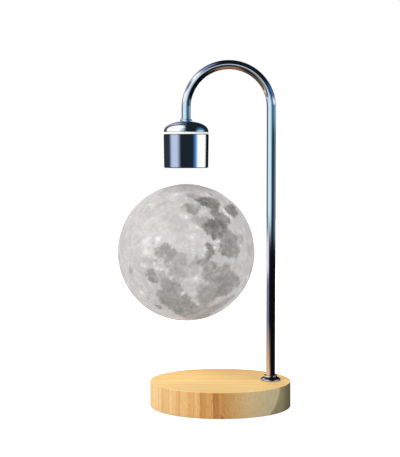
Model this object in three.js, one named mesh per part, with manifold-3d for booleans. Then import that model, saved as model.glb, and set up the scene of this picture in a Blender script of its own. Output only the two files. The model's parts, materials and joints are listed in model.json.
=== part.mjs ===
// Levitating moon lamp: a lit moon ball floats under the magnet head of a bent chrome arm,
// over a round pine base that charges what is laid on it.
// Millimetres, +Z up. The origin is the centre of the underside, and +X runs from it towards the post.

import * as THREE from "three";
import { mergeVertices } from "three/addons/utils/BufferGeometryUtils.js";
import Module from "manifold-3d";

const wasm = await Module();
wasm.setup();

// Shared by every piece: the gap left where pieces seat in or on one another,
// how far a cutting tool runs past the face that it cuts, and how close points are welded.
const fit = 0.3;
const overrun = 2;
const weld = 0.001;

// The heights that stack up from the table to the top of the bend
const baseThickness = 28;
const padProud = 1;
const airUnderMoon = 66.3;
const moonDiameter = 150;
const floatGap = 17.7;
const sleeveHeight = 36.5;
const ringBand = 2;
const domeHeight = 11.6;
const collarHeight = 2;
const legLength = 12.8;

// The widths that place the post and the hanging axis
const baseDiameter = 155;
const postInset = 22;
const reach = 93;
const tubeDiameter = 10;

// Base: a pine disc hollowed from below, closed by a screwed cover with an anti-slip pad
const topEdgeRound = 0.8;
const bottomChamfer = 1;
const rimWidth = 12;
const topSkin = 5;
const coverInset = 5.8;
const coverThickness = 2.5;
const padThickness = 2;
const padInset = 1.7;
const coverScrewCount = 4;
const coverScrewStartShare = 0.125;
const coverScrewLength = 9;
const coverScrewRadius = 1.45;
const coverScrewHeadRadius = 2.6;
const coverScrewHeadHeight = 1.5;
const coverScrewTip = 1.6;

// Power socket in the rear of the base: a barrel jack with its flange on a spot-faced flat
const socketBodyRadius = 5.6;
const socketFlangeRadius = 7.2;
const socketFlangeThickness = 1.2;
const socketTail = 3;
const socketBore = 3.15;
const socketBoreDepth = 9;
const socketPinRadius = 1;
const socketPinSetback = 1.2;
const socketLugWidth = 2.4;
const socketLugThickness = 0.8;
const socketLugLength = 4;
const socketLugSpacing = 5;

// Charging coil and ferrite under the wood, and the board on the cover's pillars
const coilCentre = -12;
const coilInnerRadius = 10;
const coilPitch = 2.2;
const coilTurns = 5;
const coilWireWidth = 1;
const coilWireHeight = 1.2;
const ferriteMargin = 2;
const ferriteThickness = 1;
const boardThickness = 1.6;
const chargingBoardLength = 54;
const chargingBoardWidth = 34;
const chargingBoardToPost = 14;
const pillarHeight = 3;
const pillarRadius = 2.4;
const pillarPinRadius = 1.1;
const pillarPinHeight = 2.6;
const pillarInset = 4;
const plugWidth = 7;
const plugLength = 6;
const plugHeight = 4.4;
const chokeRadius = 4;
const chokeHeight = 4.6;
const chipSize = 7;
const chipHeight = 1.2;
const canRadius = 2.5;
const canHeight = 5;
const chokePlaceShare = 0.25;
const chipPlaceShare = -0.12;
const canPlaceShare = -0.33;
const leadRadius = 1.3;

// Arm: a tube bent to a half circle, with its foot flange, washer and nut
const tubeWall = 1;
const tubeTail = 1;
const cableRadius = 1.8;
const flangeRadius = 10.9;
const flangeEdge = 1.7;
const flangeRound = 0.5;
const flangeShoulder = 3.7;
const flangeHeight = 5.7;
const flangeNeckRadius = 7;
const flangeNeckChamfer = 0.7;
const washerRadius = 8.6;
const washerThickness = 1.2;
const nutAcrossFlats = 14;
const nutThickness = 4;

// Head: a chromed sleeve and dome, parted by a white ring, round the levitation magnet
const sleeveTopRadius = 24.65;
const sleeveBottomRadius = 24.15;
const sleeveWall = 1.4;
const sleeveCorner = 1.3;
const sleeveLipWidth = 1.2;
const sleeveLipHeight = 1.5;
const domeRadius = 24.45;
const domeWall = 1.5;
const domeFullness = 2.2;
const domeSeatRadius = 8.4;
const domeSeatDepth = 2.2;
const ringWall = 1.2;
const ringSpigot = 2;
const collarRadius = 6.6;
const collarRound = 0.6;
const headWasherRadius = 7.8;
const headWasherThickness = 1;
const headNutThickness = 3.6;
const headNutAcrossFlats = 13;
const headBoardDrop = 0.6;
const headBoardThickness = 1.2;
const headBoardFoot = 2.4;
const headBoardFootRadius = 1.4;
const headBoardFootCircle = 11;
const headChipSize = 6;
const yokeRadius = 20.8;
const yokeThickness = 3;
const coreRadius = 7;
const biasMagnetHeight = 4;
const bobbinWall = 1;
const bobbinFlangeRadius = 14.6;
const bobbinFlangeThickness = 1.2;
const windingInset = 0.4;
const bossRadius = 3;
const headScrewCount = 3;
const headScrewStartShare = 0.25;
const headScrewCircle = 17.8;
const headScrewRadius = 1.5;
const headScrewHeadRadius = 2.4;
const headScrewHeadHeight = 1.8;
const headScrewLength = 8;
const headScrewHex = 1.2;
const faceThickness = 1.6;
const faceRimHeight = 3;
const faceRimWall = 1.4;
const sensorBoardThickness = 1.2;
const sensorSize = 4;
const sensorHeight = 1.5;
const transmitterInner = 11;
const transmitterOuter = 19.4;
const transmitterHeight = 2;

// Moon: a thin printed shell in low relief, with a plugged port on top that carries the magnet module
const moonWall = 1.6;
const reliefDepth = 0.7;
const portLedgeWidth = 1.6;
const portLedgeHeight = 1.5;
const plugWall = 1;
const plugSkirt = 8;
const magnetRadius = 15;
const magnetHeight = 8;
const magnetEdge = 0.6;
const moduleWall = 0.8;
const receiverWidth = 2;
const receiverHeight = 3;
const moduleFloor = 1.2;
const moduleSkirt = 9;
const ledBoardShoulder = 1.3;
const ledBoardGap = 2;
const ledBoardThickness = 1.2;
const ledCount = 8;
const ledSize = 3;
const ledHeight = 0.9;
const ledCircle = 12;
const diffuserWall = 1.2;
const diffuserBulge = 6;

// How the printed moon face is turned: its tip, turn and roll in degrees, with the face mirrored
const moonTip = -5.7;
const moonTurn = -3.8;
const moonRoll = 114.7;

// How round each kind of piece is: flat sides or steps to a full turn or curve
const moonSides = 40;
const moonRings = 18;
const moonInnerRings = 9;
const woodSides = 48;
const headSides = 32;
const innerSides = 16;
const pinSides = 8;
const hexSides = 6;
const flangeSides = 24;
const tubeSides = 14;
const cableSides = 8;
const coilSteps = 16;
const bendSteps = 18;
const curveSteps = 6;
const bowlSteps = 4;
const cornerSteps = 2;

// Places worked out from the sizes above
const baseRadius = baseDiameter / 2;
const baseTop = padProud + baseThickness;
const ceiling = baseTop - topSkin;
const coverBottom = padThickness + fit;
const coverTop = coverBottom + coverThickness;
const coverSeat = coverTop + fit;
const cavityRadius = baseRadius - rimWidth;
const coverSeatRadius = baseRadius - coverInset;
const coverScrewCircle = (cavityRadius + coverSeatRadius) / 2;
const postX = baseRadius - postInset;
const hangX = postX - reach;
const moonRadius = moonDiameter / 2;
const moonCentre = baseTop + airUnderMoon + moonRadius;
const headFace = moonCentre + moonRadius + floatGap;
const ringBottom = sleeveHeight + fit;
const domeBottom = ringBottom + ringBand + fit;
const domeTop = domeBottom + domeHeight;
const legTop = headFace + domeTop + fit + collarHeight + legLength;
const bendRadius = reach / 2;
const tubeRadius = tubeDiameter / 2;
const armFoot = ceiling - fit - washerThickness - fit - nutThickness - tubeTail;

// A solid of revolution about Z from [radius, height] pairs that run anticlockwise
function turned(profile, sides) {
  const points = profile.map(([radius, height]) => new THREE.Vector2(radius, height));
  return new THREE.LatheGeometry(points, sides).rotateX(Math.PI / 2);
}

// A plain disc that stands on its own Z = 0
function disc(radius, height, sides) {
  return turned([[0, 0], [radius, 0], [radius, height], [0, height]], sides);
}

// A plain ring that stands on its own Z = 0
function ring(inner, outer, height, sides) {
  return turned([[inner, 0], [outer, 0], [outer, height], [inner, height], [inner, 0]], sides);
}

// A block that stands on its own Z = 0, centred on its X and Y
function block(length, width, height) {
  return new THREE.BoxGeometry(length, width, height).translate(0, 0, height / 2);
}

// Points of an arc in a profile, from one angle to another in quarter turns
function arc(centreRadius, centreHeight, radius, fromQuarter, toQuarter, steps) {
  return Array.from({ length: steps + 1 }, (_, step) => {
    const angle = (fromQuarter + ((toQuarter - fromQuarter) * step) / steps) * (Math.PI / 2);
    return [centreRadius + radius * Math.cos(angle), centreHeight + radius * Math.sin(angle)];
  });
}

// A closed geometry as a solid that can be joined and cut
function solid(geometry) {
  const bare = geometry.clone();
  bare.deleteAttribute("normal");
  bare.deleteAttribute("uv");
  const merged = mergeVertices(bare, weld);
  return new wasm.Manifold(
    new wasm.Mesh({
      numProp: 3,
      vertProperties: merged.attributes.position.array,
      triVerts: Uint32Array.from(merged.index.array),
    }),
  );
}

// The solid back as a geometry
function geometryOf(made) {
  const { vertProperties, triVerts } = made.getMesh();
  const geometry = new THREE.BufferGeometry();
  geometry.setAttribute("position", new THREE.BufferAttribute(vertProperties, 3));
  geometry.setIndex(new THREE.BufferAttribute(triVerts, 1));
  geometry.computeVertexNormals();
  return geometry;
}

// A body with other geometries joined to it
function joined(body, ...others) {
  return geometryOf(others.reduce((made, other) => made.add(solid(other)), solid(body)));
}

// A body with tools cut out of it
function cut(body, ...tools) {
  return geometryOf(tools.reduce((made, tool) => made.subtract(solid(tool)), solid(body)));
}

// Copies of one geometry round Z, the first at the given share of a turn
function around(count, radius, startShare, make) {
  return Array.from({ length: count }, (_, index) => {
    const angle = (startShare + index / count) * 2 * Math.PI;
    return make(radius * Math.cos(angle), radius * Math.sin(angle), angle, index);
  });
}

// A path given by its stations, each a point and the direction that the path takes there
class StationPath extends THREE.Curve {
  constructor(stations) {
    super();
    this.stations = stations;
  }

  between(t, key) {
    const place = Math.min(t * (this.stations.length - 1), this.stations.length - 1);
    const index = Math.min(Math.floor(place), this.stations.length - 2);
    return this.stations[index][key].clone().lerp(this.stations[index + 1][key], place - index);
  }

  getPoint(t) {
    return this.between(t, "point");
  }

  getPointAt(t) {
    return this.between(t, "point");
  }

  getTangent(t) {
    return this.between(t, "direction").normalize();
  }

  getTangentAt(t) {
    return this.between(t, "direction").normalize();
  }
}

function station(x, z, directionX, directionZ) {
  return { point: new THREE.Vector3(x, 0, z), direction: new THREE.Vector3(directionX, 0, directionZ) };
}

// The stations of an arc in the XZ plane, from one angle to another in quarter turns
function bend(centreX, centreZ, radius, fromQuarter, toQuarter, steps) {
  const way = Math.sign(toQuarter - fromQuarter);
  return Array.from({ length: steps + 1 }, (_, step) => {
    const angle = (fromQuarter + ((toQuarter - fromQuarter) * step) / steps) * (Math.PI / 2);
    const cos = Math.cos(angle);
    const sin = Math.sin(angle);
    return station(centreX + radius * cos, centreZ + radius * sin, -way * sin, way * cos);
  });
}

// A section carried along stations
function swept(section, stations, sides) {
  return new THREE.ExtrudeGeometry(section, {
    steps: stations.length - 1,
    curveSegments: sides / 2,
    extrudePath: new StationPath(stations),
  });
}

function circle(radius) {
  return new THREE.Shape().absarc(0, 0, radius, 0, 2 * Math.PI);
}

function mesh(parent, name, geometry, colour, roughness, metalness) {
  const material = new THREE.MeshStandardMaterial({ color: colour, roughness, metalness });
  const made = new THREE.Mesh(geometry, material);
  made.name = name;
  parent.add(made);
  return made;
}

// The pine disc, hollowed from below, with a seat for the cover and holes for the post, socket and screws
function basePiece() {
  const hollowed = turned(
    [
      [0, ceiling],
      [cavityRadius, ceiling],
      [cavityRadius, coverSeat],
      [coverSeatRadius, coverSeat],
      [coverSeatRadius, padProud],
      [baseRadius - bottomChamfer, padProud],
      [baseRadius, padProud + bottomChamfer],
      ...arc(baseRadius - topEdgeRound, baseTop - topEdgeRound, topEdgeRound, 0, 1, cornerSteps),
      [0, baseTop],
    ],
    woodSides,
  );
  const postHole = disc(tubeRadius + fit, topSkin + 2 * overrun, tubeSides);
  postHole.translate(postX, 0, ceiling - overrun);
  const pilotDepth = coverBottom + coverScrewLength + fit - coverSeat;
  const pilots = around(coverScrewCount, coverScrewCircle, coverScrewStartShare, (x, y) =>
    disc(coverScrewRadius + fit, pilotDepth + overrun, pinSides).translate(x, y, coverSeat - overrun),
  );
  return cut(hollowed, postHole, ...pilots, ...socketHoles());
}

// Where the socket sits: its flange just inside the round of the wood
const socketHeight = padProud + baseThickness / 2;
const socketSpotRadius = socketFlangeRadius + fit;
const socketSeat = Math.sqrt(baseRadius ** 2 - socketSpotRadius ** 2) - socketFlangeThickness - fit;

// The spot face and the through hole that take the socket, running inwards along Y
function socketHoles() {
  const spot = disc(socketSpotRadius, baseRadius, innerSides);
  const through = disc(socketBodyRadius + fit, rimWidth + overrun, innerSides);
  through.translate(0, 0, -rimWidth - fit);
  return [spot, through].map((tool) => tool.rotateX(-Math.PI / 2).translate(0, socketSeat, socketHeight));
}

// The barrel jack: flange, body, bore and centre pin turned as one, with its solder lugs behind
function socketPiece() {
  const mouth = fit + socketFlangeThickness;
  const back = -rimWidth - socketTail;
  const body = turned(
    [
      [0, back],
      [socketBodyRadius, back],
      [socketBodyRadius, fit],
      [socketFlangeRadius, fit],
      [socketFlangeRadius, mouth],
      [socketBore, mouth],
      [socketBore, mouth - socketBoreDepth],
      [socketPinRadius, mouth - socketBoreDepth],
      [socketPinRadius, mouth - socketPinSetback],
      [0, mouth - socketPinSetback],
    ],
    innerSides,
  );
  const lugs = [-1, 1].map((side) =>
    block(socketLugWidth, socketLugThickness, socketLugLength + overrun).translate(
      0,
      (side * socketLugSpacing) / 2,
      back - socketLugLength,
    ),
  );
  return joined(body, ...lugs);
}

// Where the charging board lies: on the cover's pillars, with its plug facing the post
const boardBottom = coverTop + pillarHeight + fit;
const boardTop = boardBottom + boardThickness;
const boardEnd = postX - chargingBoardToPost;
const boardCentre = boardEnd - chargingBoardLength / 2;
const boardPins = [-1, 1].flatMap((endways) =>
  [-1, 1].map((sideways) => [
    boardCentre + endways * (chargingBoardLength / 2 - pillarInset),
    sideways * (chargingBoardWidth / 2 - pillarInset),
  ]),
);
const plugMiddle = boardTop - plugHeight / 2;

// The cover: a moulded disc with countersunk holes and four pillars with pins for the board
function coverPiece() {
  const plate = disc(coverSeatRadius - fit, coverThickness, woodSides);
  const pillars = boardPins.flatMap(([x, y]) => [
    disc(pillarRadius, coverThickness + pillarHeight, pinSides).translate(x, y, 0),
    disc(pillarPinRadius, coverThickness + pillarHeight + pillarPinHeight, pinSides).translate(x, y, 0),
  ]);
  const countersink = [
    [0, -overrun],
    [coverScrewHeadRadius + fit, -overrun],
    [coverScrewHeadRadius + fit, fit],
    [coverScrewRadius + fit, coverScrewHeadHeight + fit],
    [coverScrewRadius + fit, coverThickness + overrun],
    [0, coverThickness + overrun],
  ];
  const holes = around(coverScrewCount, coverScrewCircle, coverScrewStartShare, (x, y) =>
    turned(countersink, pinSides).translate(x, y, 0),
  );
  const made = pillars.reduce((body, pillar) => body.add(solid(pillar)), solid(plate));
  return geometryOf(holes.reduce((body, hole) => body.subtract(solid(hole)), made));
}

// A countersunk wood screw that stands on its head
function coverScrewPiece() {
  return turned(
    [
      [0, 0],
      [coverScrewHeadRadius, 0],
      [coverScrewRadius, coverScrewHeadHeight],
      [coverScrewRadius, coverScrewLength - coverScrewTip],
      [0, coverScrewLength],
    ],
    pinSides,
  );
}

// The flat charging coil: one unbroken wire wound outwards, which prints its least gap to itself
function coilPiece() {
  const steps = coilTurns * coilSteps;
  const stations = Array.from({ length: steps + 1 }, (_, step) => {
    const angle = (step / steps) * coilTurns * 2 * Math.PI;
    const radius = coilInnerRadius + (coilPitch * angle) / (2 * Math.PI);
    return {
      point: new THREE.Vector3(radius * Math.cos(angle), radius * Math.sin(angle), 0),
      direction: new THREE.Vector3(-Math.sin(angle), Math.cos(angle), 0),
    };
  });
  const apart = stations.slice(coilSteps).map(({ point }, index) => point.distanceTo(stations[index].point));
  const least = Math.min(...apart) - coilWireWidth;
  console.log("charging coil: least gap between turns " + least.toFixed(2) + " mm");
  const section = new THREE.Shape([
    new THREE.Vector2(-coilWireHeight / 2, -coilWireWidth / 2),
    new THREE.Vector2(coilWireHeight / 2, -coilWireWidth / 2),
    new THREE.Vector2(coilWireHeight / 2, coilWireWidth / 2),
    new THREE.Vector2(-coilWireHeight / 2, coilWireWidth / 2),
  ]);
  return swept(section, stations, 4);
}

const coilOuterRadius = coilInnerRadius + coilTurns * coilPitch + coilWireWidth / 2;

// The charging board: plate with pin holes, cable plug on its end, choke, chips and capacitors
function chargingBoardPiece() {
  const plate = block(chargingBoardLength, chargingBoardWidth, boardThickness);
  const holes = boardPins.map(([x, y]) =>
    disc(pillarPinRadius + fit, boardThickness + 2 * overrun, pinSides).translate(
      x - boardCentre,
      y,
      -overrun,
    ),
  );
  const plug = block(plugLength, plugWidth, plugHeight).translate(
    (chargingBoardLength + plugLength) / 2,
    0,
    boardThickness - plugHeight,
  );
  const socketPlug = block(plugWidth, plugLength, plugHeight).translate(
    0,
    (chargingBoardWidth + plugLength) / 2,
    boardThickness - plugHeight,
  );
  const onTop = boardThickness - weld;
  const choke = disc(chokeRadius, chokeHeight, innerSides);
  choke.translate(chokePlaceShare * chargingBoardLength, 0, onTop);
  const chip = block(chipSize, chipSize, chipHeight);
  chip.translate(chipPlaceShare * chargingBoardLength, 0, onTop);
  const cans = [-1, 1].map((side) =>
    disc(canRadius, canHeight, pinSides).translate(
      canPlaceShare * chargingBoardLength,
      side * 2 * canRadius,
      onTop,
    ),
  );
  const body = cut(plate, ...holes);
  return joined(body, plug, socketPlug, choke, chip, ...cans);
}

// The lead from the socket's lugs to the board, sagging a little on its way
function powerLeadPiece() {
  const lugEnd = socketSeat - rimWidth - socketTail - socketLugLength;
  const from = new THREE.Vector3(0, lugEnd - fit, socketHeight);
  const to = new THREE.Vector3(boardCentre, chargingBoardWidth / 2 + plugLength + fit, plugMiddle);
  const slack = (from.y - to.y) / 3;
  const route = new THREE.CubicBezierCurve3(
    from,
    from.clone().add(new THREE.Vector3(0, -slack, 0)),
    to.clone().add(new THREE.Vector3(0, slack, 0)),
    to,
  );
  return new THREE.ExtrudeGeometry(circle(leadRadius), {
    steps: curveSteps,
    curveSegments: cableSides / 2,
    extrudePath: route,
  });
}

function buildBase(lamp) {
  const base = new THREE.Group();
  lamp.add(base);
  mesh(base, "base_body", basePiece(), 0xe3bd83, 0.45, 0);
  mesh(base, "base_cover", coverPiece(), 0x26272a, 0.6, 0).position.z = coverBottom;
  mesh(base, "base_pad", disc(coverSeatRadius - padInset, padThickness, woodSides), 0x1b1b1c, 0.95, 0);
  around(coverScrewCount, coverScrewCircle, coverScrewStartShare, (x, y, _angle, index) => {
    const screw = mesh(base, "cover_screw_" + (index + 1), coverScrewPiece(), 0x8d8f92, 0.35, 1);
    screw.position.set(x, y, coverBottom);
  });
  const socket = mesh(base, "dc_socket", socketPiece(), 0x17181a, 0.45, 0);
  socket.rotation.x = -Math.PI / 2;
  socket.position.set(0, socketSeat, socketHeight);
  const coil = mesh(base, "charging_coil", coilPiece(), 0xb87333, 0.35, 1);
  coil.position.set(coilCentre, 0, ceiling - fit - coilWireHeight / 2);
  const ferrite = mesh(
    base,
    "charging_ferrite",
    disc(coilOuterRadius + ferriteMargin, ferriteThickness, innerSides),
    0x3b3c3f,
    0.7,
    0.2,
  );
  ferrite.position.set(coilCentre, 0, ceiling - fit - coilWireHeight - fit - ferriteThickness);
  const board = mesh(base, "charging_board", chargingBoardPiece(), 0x1f6b45, 0.5, 0);
  board.position.set(boardCentre, 0, boardBottom);
  mesh(base, "power_lead", powerLeadPiece(), 0x202124, 0.6, 0);
}

// The lamp tube: up the post, over the half circle and down the short leg into the head
const seatDrop = fit + collarHeight + domeSeatDepth;
const tipDrop = seatDrop + fit + headWasherThickness + fit + headNutThickness + tubeTail;
const armTip = legTop - legLength - tipDrop;
const overTheTop = bend(postX - bendRadius, legTop, bendRadius, 0, 2, bendSteps);

function tubePiece() {
  const section = circle(tubeRadius);
  section.holes.push(new THREE.Path().absarc(0, 0, tubeRadius - tubeWall, 0, 2 * Math.PI));
  const stations = [station(postX, armFoot, 0, 1), ...overTheTop, station(hangX, armTip, 0, -1)];
  return swept(section, stations, tubeSides);
}

// The cable inside the tube, from the charging board's plug to the head's board
function cablePiece() {
  const bendBottom = chargingBoardToPost - plugLength - 2 * fit;
  const stations = [
    station(boardEnd + plugLength + fit, plugMiddle, 1, 0),
    ...bend(postX - bendBottom, plugMiddle + bendBottom, bendBottom, -1, 0, cornerSteps + 2),
    ...overTheTop,
    station(hangX, armTip - headBoardDrop + fit, 0, -1),
  ];
  return swept(circle(cableRadius), stations, cableSides);
}

// The turned foot flange: a rimmed disc that sweeps up to a short neck round the tube
function flangePiece() {
  const bore = tubeRadius + fit;
  const sweep = new THREE.QuadraticBezierCurve(
    new THREE.Vector2(flangeRadius - flangeRound, flangeEdge),
    new THREE.Vector2(flangeNeckRadius + flangeEdge, flangeShoulder - flangeRound),
    new THREE.Vector2(flangeNeckRadius, flangeShoulder),
  );
  return turned(
    [
      [bore, 0],
      ...arc(flangeRadius - flangeRound, flangeRound, flangeRound, -1, 0, 1),
      ...arc(flangeRadius - flangeRound, flangeEdge - flangeRound, flangeRound, 0, 1, cornerSteps),
      ...sweep.getPoints(cornerSteps + 1).slice(1).map(({ x, y }) => [x, y]),
      [flangeNeckRadius, flangeHeight - flangeNeckChamfer],
      [flangeNeckRadius - flangeNeckChamfer, flangeHeight],
      [bore, flangeHeight],
      [bore, 0],
    ],
    flangeSides,
  );
}

// A thin hexagon nut with a round bore
function nutPiece(acrossFlats, thickness) {
  const corner = acrossFlats / Math.sqrt(3);
  const outline = new THREE.Shape(around(hexSides, corner, 0, (x, y) => new THREE.Vector2(x, y)));
  outline.holes.push(new THREE.Path().absarc(0, 0, tubeRadius + fit, 0, 2 * Math.PI));
  const settings = { depth: thickness, bevelEnabled: false, curveSegments: pinSides };
  return new THREE.ExtrudeGeometry(outline, settings);
}

function buildArm(lamp) {
  const arm = new THREE.Group();
  lamp.add(arm);
  mesh(arm, "arm_tube", tubePiece(), 0xc9d2dc, 0.08, 1);
  mesh(arm, "arm_cable", cablePiece(), 0x202124, 0.6, 0);
  const foot = new THREE.Group();
  foot.position.x = postX;
  arm.add(foot);
  mesh(foot, "arm_flange", flangePiece(), 0xc9d2dc, 0.08, 1).position.z = baseTop + fit;
  const washer = mesh(
    foot,
    "arm_washer",
    ring(tubeRadius + fit, washerRadius, washerThickness, innerSides),
    0x9b9da0,
    0.3,
    1,
  );
  washer.position.z = ceiling - fit - washerThickness;
  const nut = mesh(foot, "arm_nut", nutPiece(nutAcrossFlats, nutThickness), 0x9b9da0, 0.3, 1);
  nut.position.z = ceiling - fit - washerThickness - fit - nutThickness;
}

// Heights inside the head, from its underside: the upper stack hangs from the tube's tip,
// the lower stack stands on the face, and the magnet's core takes what is left between them
const domeSeat = domeTop - domeSeatDepth;
const headTip = domeTop + fit + collarHeight - tipDrop;
const headBoardBottom = headTip - headBoardDrop - headBoardThickness;
const yokeTop = headBoardBottom - headBoardFoot - fit;
const yokeBottom = yokeTop - yokeThickness;
const faceTop = sleeveLipHeight + fit + faceThickness;
const sensorBoardBottom = faceTop + faceRimHeight + fit;
const biasMagnetBottom = sensorBoardBottom + sensorBoardThickness + fit;
const coreBottom = biasMagnetBottom + biasMagnetHeight + fit;
const sleeveLipRadius = sleeveBottomRadius - sleeveWall - sleeveLipWidth;
const sleeveBoreBottom = sleeveBottomRadius - sleeveWall;

// The sleeve: a drawn tube with a slight taper, a rounded lower corner and an inner lip
function sleevePiece() {
  return turned(
    [
      [sleeveLipRadius, 0],
      ...arc(sleeveBottomRadius - sleeveCorner, sleeveCorner, sleeveCorner, -1, 0, cornerSteps),
      [sleeveTopRadius, sleeveHeight],
      [sleeveTopRadius - sleeveWall, sleeveHeight],
      [sleeveBoreBottom, sleeveLipHeight],
      [sleeveLipRadius, sleeveLipHeight],
      [sleeveLipRadius, 0],
    ],
    headSides,
  );
}

// The face: a stepped disc that fills the lip from inside and carries a rim for the sensor board
function facePiece() {
  const rimRadius = sleeveBoreBottom - 2 * fit;
  return turned(
    [
      [0, 0],
      [sleeveLipRadius - fit, 0],
      [sleeveLipRadius - fit, sleeveLipHeight],
      [sleeveBoreBottom - fit, sleeveLipHeight],
      [sleeveBoreBottom - fit, faceTop - fit],
      [rimRadius, faceTop - fit + weld],
      [rimRadius, faceTop - fit + faceRimHeight],
      [rimRadius - faceRimWall, faceTop - fit + faceRimHeight],
      [rimRadius - faceRimWall, faceTop - fit],
      [0, faceTop - fit],
    ],
    innerSides,
  );
}

// The white ring: a band that shows between sleeve and dome, on a spigot that locates both
function whiteRingPiece() {
  const spigot = Math.min(sleeveTopRadius - sleeveWall, domeRadius - domeWall) - 2 * fit;
  return turned(
    [
      [spigot - ringWall, -ringSpigot],
      [spigot, -ringSpigot],
      [spigot, 0],
      [domeRadius, 0],
      [domeRadius, ringBand],
      [spigot, ringBand],
      [spigot, ringBand + ringSpigot],
      [spigot - ringWall, ringBand + ringSpigot],
      [spigot - ringWall, -ringSpigot],
    ],
    headSides,
  );
}

// The outline of the dome as a full quarter curve, rounder at the shoulder than an ellipse
function domeOutline(radius, height) {
  return Array.from({ length: curveSteps + 1 }, (_, step) => {
    const angle = (step / curveSteps) * (Math.PI / 2);
    const across = Math.cos(angle) ** (2 / domeFullness);
    const up = Math.sin(angle) ** (2 / domeFullness);
    return [radius * across, height * up];
  });
}

// The dome: a spun cap with a flat seat for the washer and three bosses that hold the magnet up
function domePiece() {
  const bore = tubeRadius + fit;
  const innerRadius = domeRadius - domeWall;
  const innerHeight = domeHeight - domeWall;
  const seat = domeHeight - domeSeatDepth;
  const outer = domeOutline(domeRadius, domeHeight);
  const register = ringSpigot + fit;
  const inner = domeOutline(innerRadius, innerHeight)
    .filter(([radius, height]) => radius > domeSeatRadius && height > register && height < seat)
    .reverse();
  const inside = [[0, seat], [domeSeatRadius, seat], ...inner, [innerRadius, register], [innerRadius, 0]];
  const shell = solid(turned([...inside, ...outer], headSides));
  const filled = solid(turned([[0, 0], ...outer], headSides));
  const bossBottom = yokeTop + fit - domeBottom;
  const bosses = around(headScrewCount, headScrewCircle, headScrewStartShare, (x, y) =>
    disc(bossRadius, domeHeight - bossBottom, pinSides).translate(x, y, bossBottom),
  );
  const under = solid(disc(domeRadius, -bossBottom + weld, headSides).translate(0, 0, bossBottom));
  const allowed = bossBottom < 0 ? filled.add(under) : filled;
  const bossed = bosses.reduce((made, boss) => made.add(solid(boss).intersect(allowed)), shell);
  const pilot = headScrewLength - yokeThickness;
  const pilots = around(headScrewCount, headScrewCircle, headScrewStartShare, (x, y) =>
    disc(headScrewRadius + fit, pilot + overrun, pinSides).translate(x, y, bossBottom - overrun),
  );
  const tools = [disc(bore, domeHeight + overrun, tubeSides), ...pilots];
  return geometryOf(tools.reduce((made, tool) => made.subtract(solid(tool)), bossed));
}

// The small collar that hides where the tube enters the dome, wider at its foot
function collarPiece() {
  const bore = tubeRadius + fit;
  return turned(
    [
      [bore, 0],
      [collarRadius, 0],
      ...arc(collarRadius - collarRound, collarHeight - collarRound, collarRound, 0, 1, cornerSteps),
      [bore, collarHeight],
      [bore, 0],
    ],
    innerSides,
  );
}

// The iron core with its yoke plate, drilled for the three screws
function corePiece() {
  const body = turned(
    [
      [0, coreBottom],
      [coreRadius, coreBottom],
      [coreRadius, yokeBottom],
      [yokeRadius, yokeBottom],
      [yokeRadius, yokeTop],
      [0, yokeTop],
    ],
    innerSides,
  );
  const holes = around(headScrewCount, headScrewCircle, headScrewStartShare, (x, y) =>
    disc(headScrewRadius + fit, yokeThickness + 2 * overrun, pinSides).translate(x, y, yokeBottom - overrun),
  );
  return cut(body, ...holes);
}

const bobbinHeight = yokeBottom - fit - coreBottom;
const bobbinBore = coreRadius + fit;

// The bobbin: a flanged tube that slips over the core
function bobbinPiece() {
  const tube = bobbinBore + bobbinWall;
  return turned(
    [
      [bobbinBore, 0],
      [bobbinFlangeRadius, 0],
      [bobbinFlangeRadius, bobbinFlangeThickness],
      [tube, bobbinFlangeThickness],
      [tube, bobbinHeight - bobbinFlangeThickness],
      [bobbinFlangeRadius, bobbinHeight - bobbinFlangeThickness],
      [bobbinFlangeRadius, bobbinHeight],
      [bobbinBore, bobbinHeight],
      [bobbinBore, 0],
    ],
    innerSides,
  );
}

// The winding between the bobbin's flanges, slightly crowned as wound wire lies
function windingPiece() {
  const inner = bobbinBore + bobbinWall + fit;
  const outer = bobbinFlangeRadius - 2 * windingInset;
  const height = bobbinHeight - 2 * bobbinFlangeThickness - 2 * fit;
  return turned(
    [
      [inner, 0],
      [outer, 0],
      [outer + windingInset, height / 4],
      [outer + windingInset, (height * 3) / 4],
      [outer, height],
      [inner, height],
      [inner, 0],
    ],
    innerSides,
  );
}

// The head's control board: notched round the bosses, on feet that stand on the yoke
function headBoardPiece() {
  const plate = disc(yokeRadius - fit, headBoardThickness, innerSides);
  const notches = around(headScrewCount, headScrewCircle, headScrewStartShare, (x, y) =>
    disc(bossRadius + fit, headBoardThickness + 2 * overrun, pinSides).translate(x, y, -overrun),
  );
  const feet = around(headScrewCount, headBoardFootCircle, 0, (x, y) =>
    disc(headBoardFootRadius, headBoardFoot + weld, pinSides).translate(x, y, -headBoardFoot),
  );
  const chips = around(2, headBoardFootCircle, 0, (x, y) =>
    block(headChipSize, headChipSize, chipHeight).translate(x, y, headBoardThickness - weld),
  );
  return joined(cut(plate, ...notches), ...feet, ...chips);
}

// The sensor board over the face: a disc with the field sensor under its middle
function sensorBoardPiece() {
  const plate = disc(sleeveBoreBottom - 2 * fit, sensorBoardThickness, innerSides);
  const sensor = block(sensorSize, sensorSize, sensorHeight).translate(0, 0, weld - sensorHeight);
  return joined(plate, sensor);
}

// A pan-head machine screw that hangs from its head, with a hexagon recess
function headScrewPiece() {
  const body = turned(
    [
      [0, -headScrewHeadHeight],
      [headScrewHeadRadius, -headScrewHeadHeight],
      [headScrewHeadRadius, 0],
      [headScrewRadius, 0],
      [headScrewRadius, headScrewLength],
      [0, headScrewLength],
    ],
    pinSides,
  );
  const recess = disc(headScrewHex, headScrewHeadHeight / 2 + overrun, hexSides);
  return cut(body, recess.translate(0, 0, -headScrewHeadHeight - overrun));
}

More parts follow.
